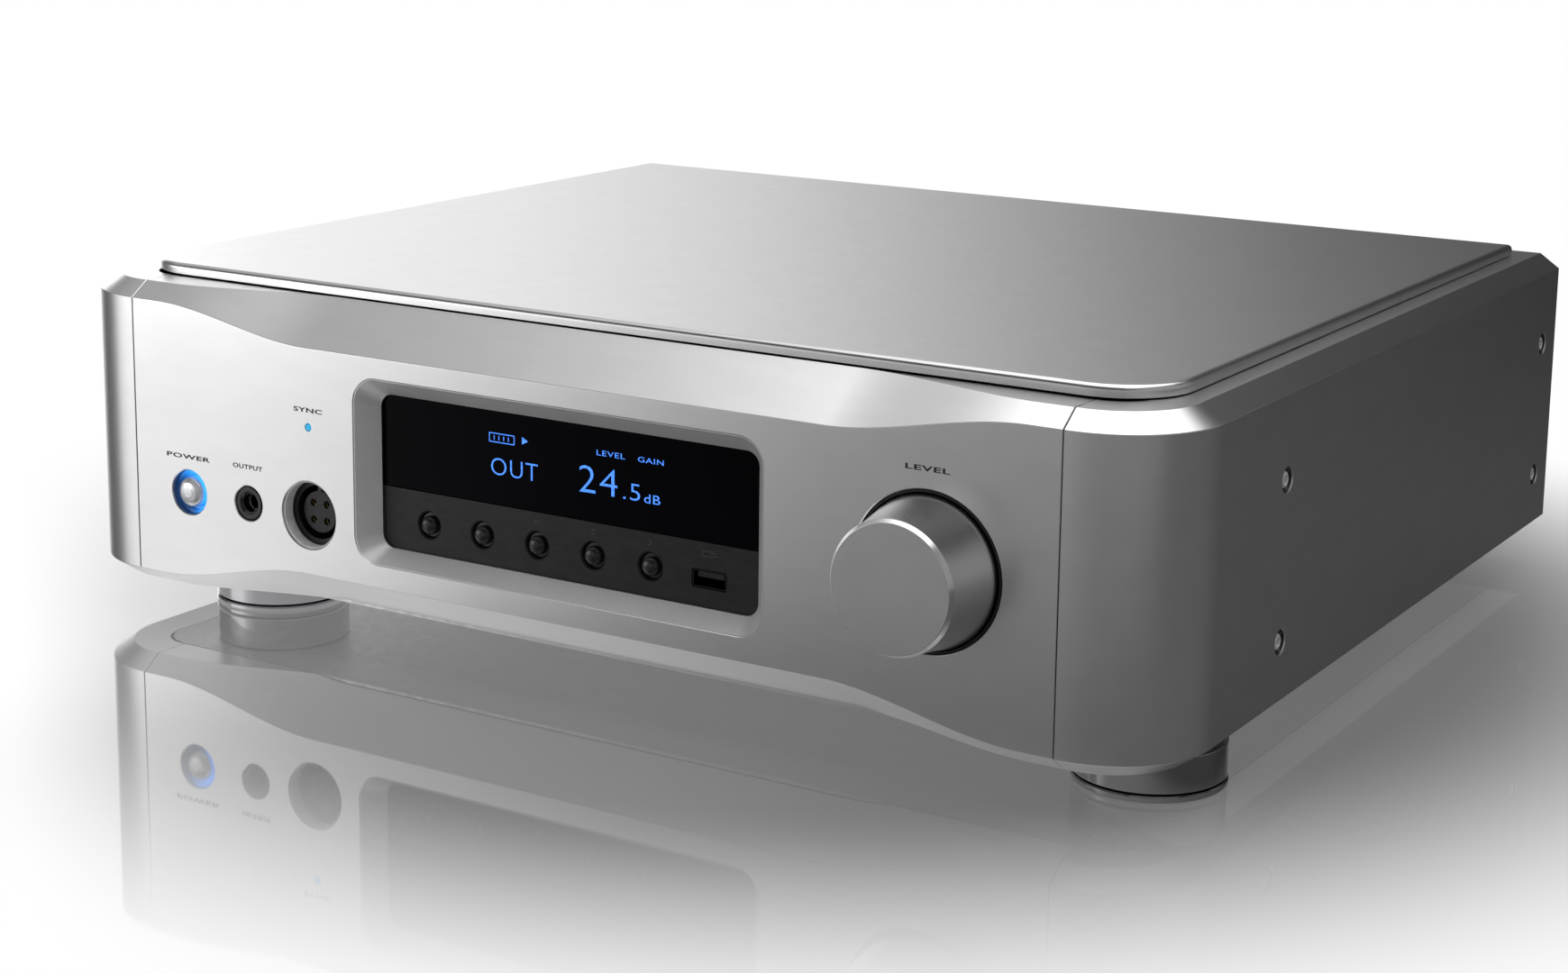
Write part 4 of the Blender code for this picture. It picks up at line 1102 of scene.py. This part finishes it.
def mains_inlet():
    """A moulded inlet with two cut corners and three blades."""
    matrix, half_x, half_z, depth = rear_frame("mains_inlet")
    body = prism(box_outline(half_x, half_z, 1.2 * MM), -depth, 0.0, matrix, 0.4 * MM)
    x, z = 12.2 * MM, 8.3 * MM
    cut = 4.2 * MM
    mouth = ((-x, -z), (x, -z), (x, z - cut), (x - cut, z), (-x + cut, z), (-x, z - cut))
    hollow = rounded([(*corner, 0.6 * MM) for corner in mouth], True, 3)
    cutter = prism(lambda inset: hollow, -16.0 * MM, REACH, matrix)
    piece("inlet_body", body, BLACK, "mains_inlet", cutters=[cutter])
    blades = []
    for x, z in ((-7.0, -2.0), (7.0, -2.0), (0.0, 2.0)):
        outline = box_outline(1.0 * MM, 2.6 * MM, 0.3 * MM, (x * MM, z * MM))
        blades.append(prism(outline, -16.0 * MM, -2.5 * MM, matrix, 0.6 * MM))
    piece("inlet_blades", merged(*blades), CHROME)


def balanced_outputs():
    """Round shells with three pins each."""
    for word in ("left", "right"):
        node = "xlr_output_" + word
        matrix = on_rear(middle(node))
        top = rear_rise(node)
        floor = top - 13.0
        shell = [
            (0.0, floor), (9.6, floor), (9.6, top, 0.5), (13.2, top, 0.6), (13.2, GAP_MM, 0.2),
            (11.6, GAP_MM), (11.6, -20.0, 0.4), (0.0, -20.0),
        ]
        piece(f"xlr_shell_{word}", lathe(shell, matrix), BLACK, node)
        pin = [(0.0, top - 1.6), (1.15, top - 1.6, 0.8), (1.15, top - 12.9), (0.0, top - 12.9)]
        pins = []
        for angle in (90.0, 210.0, 330.0):
            turn = math.radians(angle)
            offset = Vector((math.cos(turn), math.sin(turn), 0.0)) * 4.6 * MM
            pins.append(lathe(pin, matrix @ Matrix.Translation(offset), 32))
        piece(f"xlr_pins_{word}", merged(*pins), GOLD)


def barrel(matrix, bore, tip, neck, nut, thread, depth):
    """A socket whose tip and nut are (radius, height, fillet), with its neck's height between."""
    profile = [(bore, tip[1], 0.2), tip, (tip[0], neck, 0.2), nut, (nut[0], GAP_MM, 0.2)]
    profile += [(thread, GAP_MM), (thread, -depth, 0.3), (bore, -depth)]
    return lathe(profile, matrix, 64, True)


def phono_outputs():
    """Gold phono sockets, told apart by the colour of the insulator."""
    rings = {
        "rca_output_left": WHITE_RING,
        "rca_output_right": RED_RING,
        "coaxial_input": BLACK,
    }
    for node, ring_material in rings.items():
        matrix = on_rear(middle(node))
        top = rear_rise(node)
        shell = barrel(matrix, 3.3, (4.15, top, 0.4), 2.2, (6.6, 1.5, 0.3), 5.1, 9.0)
        piece(node + "_barrel", shell, GOLD, node)
        insulator = tube(1.7, 3.25, top - 0.6, -9.0, matrix, 48, 0.2)
        piece(node + "_insulator", insulator, ring_material)
        contact = tube(1.3, 1.65, top - 1.2, -8.5, matrix, 32)
        piece(node + "_contact", contact, GOLD)


def clock_socket():
    """A bayonet socket with two studs."""
    node = "clock_input"
    matrix = on_rear(middle(node))
    top = rear_rise(node)
    shell = barrel(matrix, 4.1, (4.8, top, 0.3), 2.4, (7.6, 2.0, 0.3), 6.0, 12.0)
    piece("bayonet_barrel", shell, CHROME, node)
    core = [(0.7, top - 1.5, 0.2), (4.0, top - 4.0, 0.3), (4.0, -11.5), (0.7, -11.5)]
    piece("bayonet_core", lathe(core, matrix, 48, True), WHITE_RING)
    stud = [(0.0, 1.2), (0.9, 1.2, 0.2), (0.9, 0.0), (0.0, 0.0)]
    studs = []
    for side in (-1.0, 1.0):
        spot = matrix @ (Vector((side * 4.6, 0.0, top - 2.6)) * MM)
        studs.append(lathe(stud, place(spot, matrix.to_3x3() @ Vector((side, 0.0, 0.0))), 24))
    piece("bayonet_studs", merged(*studs), CHROME)


def square_ports():
    """The network, USB-B and optical sockets, each with what is seen in its mouth."""
    sizes = {
        "network_port": ((5.9, 4.0), 12.0, STEEL, "inner_steel"),
        "usb_b_port": ((4.3, 3.9), 9.0, STEEL, "inner_steel"),
        "optical_input": ((3.2, 3.2), 8.0, BLACK, "black_plastic"),
    }
    for node, ((mouth_x, mouth_z), depth, material, slot) in sizes.items():
        matrix, half_x, half_z, back = rear_frame(node)
        body = prism(box_outline(half_x, half_z, 0.6 * MM), -back, 0.0, matrix, 0.25 * MM)
        hollow = box_outline(mouth_x * MM, mouth_z * MM, 0.5 * MM)
        cutter = prism(hollow, -depth * MM, REACH, matrix)
        piece(node + "_shell", body, material, node, cutters=[cutter])
    matrix = rear_frame("network_port")[0]
    wires = []
    for step in range(8):
        outline = box_outline(0.22 * MM, 0.5 * MM, 0.1 * MM, ((step - 3.5) * 1.02 * MM, 3.3 * MM))
        wires.append(prism(outline, -11.5 * MM, -3.0 * MM, matrix, 0.1 * MM))
    piece("network_contacts", merged(*wires), GOLD)
    matrix = rear_frame("usb_b_port")[0]
    block = box_outline(2.6 * MM, 1.5 * MM, 0.3 * MM)
    tongue = prism(block, -8.9 * MM, -1.0 * MM, matrix, 0.3 * MM)
    piece("usb_b_tongue", tongue, WHITE_RING)
    matrix = rear_frame("optical_input")[0]
    flap = box_outline(3.0 * MM, 3.0 * MM, 0.3 * MM)
    shutter = prism(flap, -2.4 * MM, -1.4 * MM, matrix, 0.2 * MM)
    piece("optical_shutter", shutter, INSERT_BLACK)


def rear_screws():
    """Small countersunk screws along the edge of the rear sheet."""
    low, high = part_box("rear_panel")
    inset = 7.0 * MM
    head = [(0.0, 0.35), (2.4, 0.2, 0.6), (2.8, -0.4), (0.0, -0.4)]
    heads = []
    for x in (-190.0, -95.0, 0.0, 95.0, 190.0):
        for z in (low.z + inset, high.z - inset):
            heads.append(lathe(head, on_rear(Vector((x * MM, 0.0, z))), 32))
    piece("rear_screw_heads", merged(*heads), CHROME)


def rear_labels():
    """Plain words of function over the sockets."""
    words = (
        ("rear_label_mains", "MAINS", middle("mains_inlet"), 15.5, 15.0),
        ("rear_label_network", "NET", middle("network_port"), 11.0, 8.0),
        ("rear_label_usb", "DATA", middle("usb_b_port"), 11.0, 9.0),
        ("rear_label_optical", "OPT", middle("optical_input"), 11.0, 7.0),
        ("rear_label_coaxial", "COAX", middle("coaxial_input"), 11.0, 9.0),
        ("rear_label_clock", "SYNC", middle("clock_input"), 11.0, 9.0),
        ("rear_label_left", "L", middle("xlr_output_left"), 17.0, 1.7),
        ("rear_label_right", "R", middle("xlr_output_right"), 17.0, 1.9),
    )
    labels(words, REAR_Y + PRINT_OFF, 1.0, 2.4 * MM, 0.0, PALE_INK)


def painted_nodes():
    """CAD nodes that stay: each gets a worked material in place of its plain one."""
    paints = (
        (REAR_METAL, ("rear_panel", "rear_top_rail")),
        (STEEL, ("bottom_plate", "left_inner_wall", "right_inner_wall", "transformer_clamp")),
        (STEEL, ("encoder_shaft", "volume_encoder")),
        (BOARD_GREEN, ("display_module", "control_board", "power_board", "digital_board")),
        (BOARD_GREEN, ("headphone_amp_board",)),
        (BLACK, ("power_switch",)),
        (WRAP, ("mains_transformer",)),
    )
    for material, nodes in paints:
        for node in nodes:
            for material_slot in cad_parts[node].material_slots:
                material_slot.material = material


# ---------------------------------------------------------------- studio

FLOOR_RADIUS = 2.0
# The table top is whole up to the first distance from the middle and gone at the second
FADE_SPAN = (0.24, 0.43)
FLOOR_GLOSS = 0.44
FLOOR_VEIL = 0.12
MIRROR_ROUGHNESS = 0.03
# The table mirrors less close in front of the object, a painted shade that darkens the lower front
# of the object and its reflection: in Y, in X, and the most and least it mirrors
DIM_DEPTH = (-0.45, -0.22)
DIM_SPAN = (-0.22, 0.0)
MIRROR_LIMITS = (0.97, 0.42)
# Light that the table top gives the underside, from left to right over a span of X. It ends
# towards the sides and towards the front, so that it stays under the object
GLOW_LIMITS = (0.55, 0.22)
GLOW_SPAN = (-0.2, 0.2)
GLOW_SIDE = (0.2, 0.235)
GLOW_FRONT = (-0.23, -0.19)
GREY = (0.15, 0.15, 0.15)
WHITE = (1.0, 1.0, 1.0, 1.0)


def staged(name, bm, material, seen=True):
    """Part of the studio, not of the object."""
    mesh = bpy.data.meshes.new(name)
    bm.to_mesh(mesh)
    bm.free()
    mesh.materials.append(material)
    obj = bpy.data.objects.new(name, mesh)
    obj.visible_camera = seen
    obj.visible_shadow = seen
    bpy.context.scene.collection.objects.link(obj)


def studio_floor():
    """A pale glossy table top that fades into the white of the studio further out."""
    bm = bmesh.new()
    bmesh.ops.create_circle(bm, cap_ends=True, segments=96, radius=FLOOR_RADIUS)
    look = Look("studio_floor", GREY, 0.5, Specular_IOR_Level=0.0, Emission_Color=WHITE)
    seen = look.node("ShaderNodeLightPath").outputs["Is Camera Ray"]
    spot = look.split(look.place)
    aside = look.ramp(look.calc("ABSOLUTE", spot["X"]), 1.0, 0.0, *GLOW_SIDE)
    inside = look.calc("MULTIPLY", aside, look.ramp(spot["Y"], 0.0, 1.0, *GLOW_FRONT))
    under = look.calc("MULTIPLY", look.ramp(spot["X"], *GLOW_LIMITS, *GLOW_SPAN), inside)
    glow = look.choose(seen, under, FLOOR_VEIL)
    look.set("Emission Strength", look.calc("DIVIDE", glow, 1.0 - FLOOR_GLOSS))
    # Painted shade: the table's mirror colour is dimmed close in front of the object
    depth = look.ramp(spot["Y"], 0.0, 1.0, *DIM_DEPTH)
    near = look.calc("MULTIPLY", depth, look.ramp(spot["X"], 0.0, 1.0, *DIM_SPAN))
    mirrored = look.ramp(near, *MIRROR_LIMITS, 0.0, 1.0)
    sockets = {"Color": mirrored, "Roughness": MIRROR_ROUGHNESS}
    gloss = look.node("ShaderNodeBsdfAnisotropic", sockets)
    parts = {"Fac": FLOOR_GLOSS, 1: look.shader.outputs["BSDF"], 2: gloss.outputs["BSDF"]}
    surface = look.node("ShaderNodeMixShader", parts)
    distance = look.node("ShaderNodeVectorMath", {0: look.place}, operation="LENGTH")
    away = look.ramp(distance.outputs["Value"], 0.0, 1.0, *FADE_SPAN)
    fade = look.calc("MULTIPLY", away, seen)
    clear = look.node("ShaderNodeBsdfTransparent")
    parts = {"Fac": fade, 1: surface.outputs["Shader"], 2: clear.outputs["BSDF"]}
    look.surface(look.node("ShaderNodeMixShader", parts).outputs["Shader"])
    staged("studio_floor", bm, look.material)


BRIGHTEST = 3.0
# Soft cards of light: the near and the far edge of each in (Y, Z), and its brightness from
# left to right as pairs of X and light
CARDS = {
    "front_card": (
        ((-0.72, 0.01), (-0.72, 0.36)),
        (
            (-2.0, 1.0), (-1.2, 2.2), (-0.6, 2.5), (-0.42, 1.15), (-0.25, 0.48),
            (0.0, 0.42), (0.15, 0.34), (0.3, 0.3), (0.6, 0.32), (1.8, 0.4),
        ),
    ),
    "back_card": (
        ((0.72, 0.01), (0.72, 0.82)),
        (
            (-2.4, 1.9), (-1.25, 2.0), (-1.1, 1.4), (-0.95, 1.12), (-0.7, 0.98),
            (-0.5, 0.75), (-0.35, 0.5), (-0.2, 0.28), (-0.08, 0.15), (0.05, 0.08),
            (0.2, 0.04), (0.35, 0.01), (0.5, 0.05), (0.7, 0.18), (1.0, 0.18),
        ),
    ),
    "roof_card": (
        ((-0.5, 0.8), (0.5, 0.8)),
        ((-1.4, 0.3), (-0.9, 0.45), (-0.6, 0.45), (-0.4, 0.7), (-0.2, 1.4), (0.0, 1.7), (0.6, 1.7)),
    ),
}


def studio_cards():
    """Cards that light the object and are not seen by the camera."""
    for name, ((near, far), lights) in CARDS.items():
        left, right = lights[0][0], lights[-1][0]
        bm = bmesh.new()
        corners = ((left, *near), (right, *near), (right, *far), (left, *far))
        bm.faces.new([bm.verts.new(corner) for corner in corners])
        look = Look(name, GREY, 0.5)
        across = look.ramp(look.split(look.place)["X"], 0.0, 1.0, left, right, "LINEAR")
        fade = look.node("ShaderNodeValToRGB", {"Fac": across})
        elements = fade.color_ramp.elements
        elements.remove(elements[-1])
        for index, (x, light) in enumerate(lights):
            position = (x - left) / (right - left)
            element = elements[0] if index == 0 else elements.new(position)
            element.position = position
            element.color = [light / BRIGHTEST] * 3 + [1.0]
        sockets = {"Strength": BRIGHTEST, "Color": fade.outputs["Color"]}
        look.surface(look.node("ShaderNodeEmission", sockets).outputs["Emission"])
        staged(name, bm, look.material, seen=False)


AMBIENT = 0.015
LEFT_LIGHT = 0.12
LEFT_CONE = (-0.5, -0.95)
RIGHT_LIGHT = 0.3
RIGHT_CONE = (0.45, 0.8)


def studio_world():
    """Dim surroundings, brighter on the left and right, behind a white background."""
    world = bpy.data.worlds.new("studio")
    bpy.context.scene.world = world
    world.use_nodes = True
    sky = Nodes(world.node_tree)
    toward = sky.split(sky.node("ShaderNodeTexCoord").outputs["Generated"])["X"]
    left = sky.ramp(toward, AMBIENT / 2, LEFT_LIGHT, *LEFT_CONE)
    right = sky.ramp(toward, AMBIENT / 2, RIGHT_LIGHT, *RIGHT_CONE)
    seen = sky.node("ShaderNodeLightPath").outputs["Is Camera Ray"]
    background = sky.tree.nodes["Background"].inputs
    sky.feed(background["Color"], WHITE)
    sky.feed(background["Strength"], sky.choose(seen, sky.calc("ADD", left, right), 1.0))


CAMERA_SPOT = (0.5284, -0.8898, 0.3007)
CAMERA_YAW = math.radians(31.671)
CAMERA_PITCH = math.radians(10.898)
CAMERA_ROLL = math.radians(0.701)
CAMERA_LENS = 63.23
CAMERA_SENSOR = 36.0
CAMERA_SHIFT = -0.1


def camera():
    """Looks down at the object from its front right, slightly rolled and with a lens shift."""
    data = bpy.data.cameras.new("camera")
    data.lens = CAMERA_LENS
    data.sensor_width = CAMERA_SENSOR
    data.sensor_fit = "HORIZONTAL"
    data.shift_y = CAMERA_SHIFT
    data.clip_start = 0.01
    obj = bpy.data.objects.new("camera", data)
    bpy.context.scene.collection.objects.link(obj)
    aside, ahead, level = math.sin(CAMERA_YAW), math.cos(CAMERA_YAW), math.cos(CAMERA_PITCH)
    forward = Vector((-aside * level, ahead * level, -math.sin(CAMERA_PITCH)))
    right = Vector((ahead, aside, 0.0))
    up = right.cross(forward)
    tilt = math.cos(CAMERA_ROLL), math.sin(CAMERA_ROLL)
    across = tilt[0] * right + tilt[1] * up
    upward = tilt[0] * up - tilt[1] * right
    obj.matrix_world = from_columns(across, upward, -forward, Vector(CAMERA_SPOT))
    bpy.context.scene.camera = obj


front_panel()
for side, word in ((-1.0, "left"), (1.0, "right")):
    side_panel(side, word)
    side_screws(side, word)
top_plate()
display()
keys()
readout()
strip_marks()
usb_port()
power_control()
headphone_socket()
balanced_socket()
clock_lamp()
volume_control()
front_labels()
feet()
mains_inlet()
balanced_outputs()
phono_outputs()
clock_socket()
square_ports()
rear_screws()
rear_labels()
painted_nodes()
studio_floor()
studio_cards()
studio_world()
camera()
bpy.context.scene.view_settings.view_transform = "Standard"
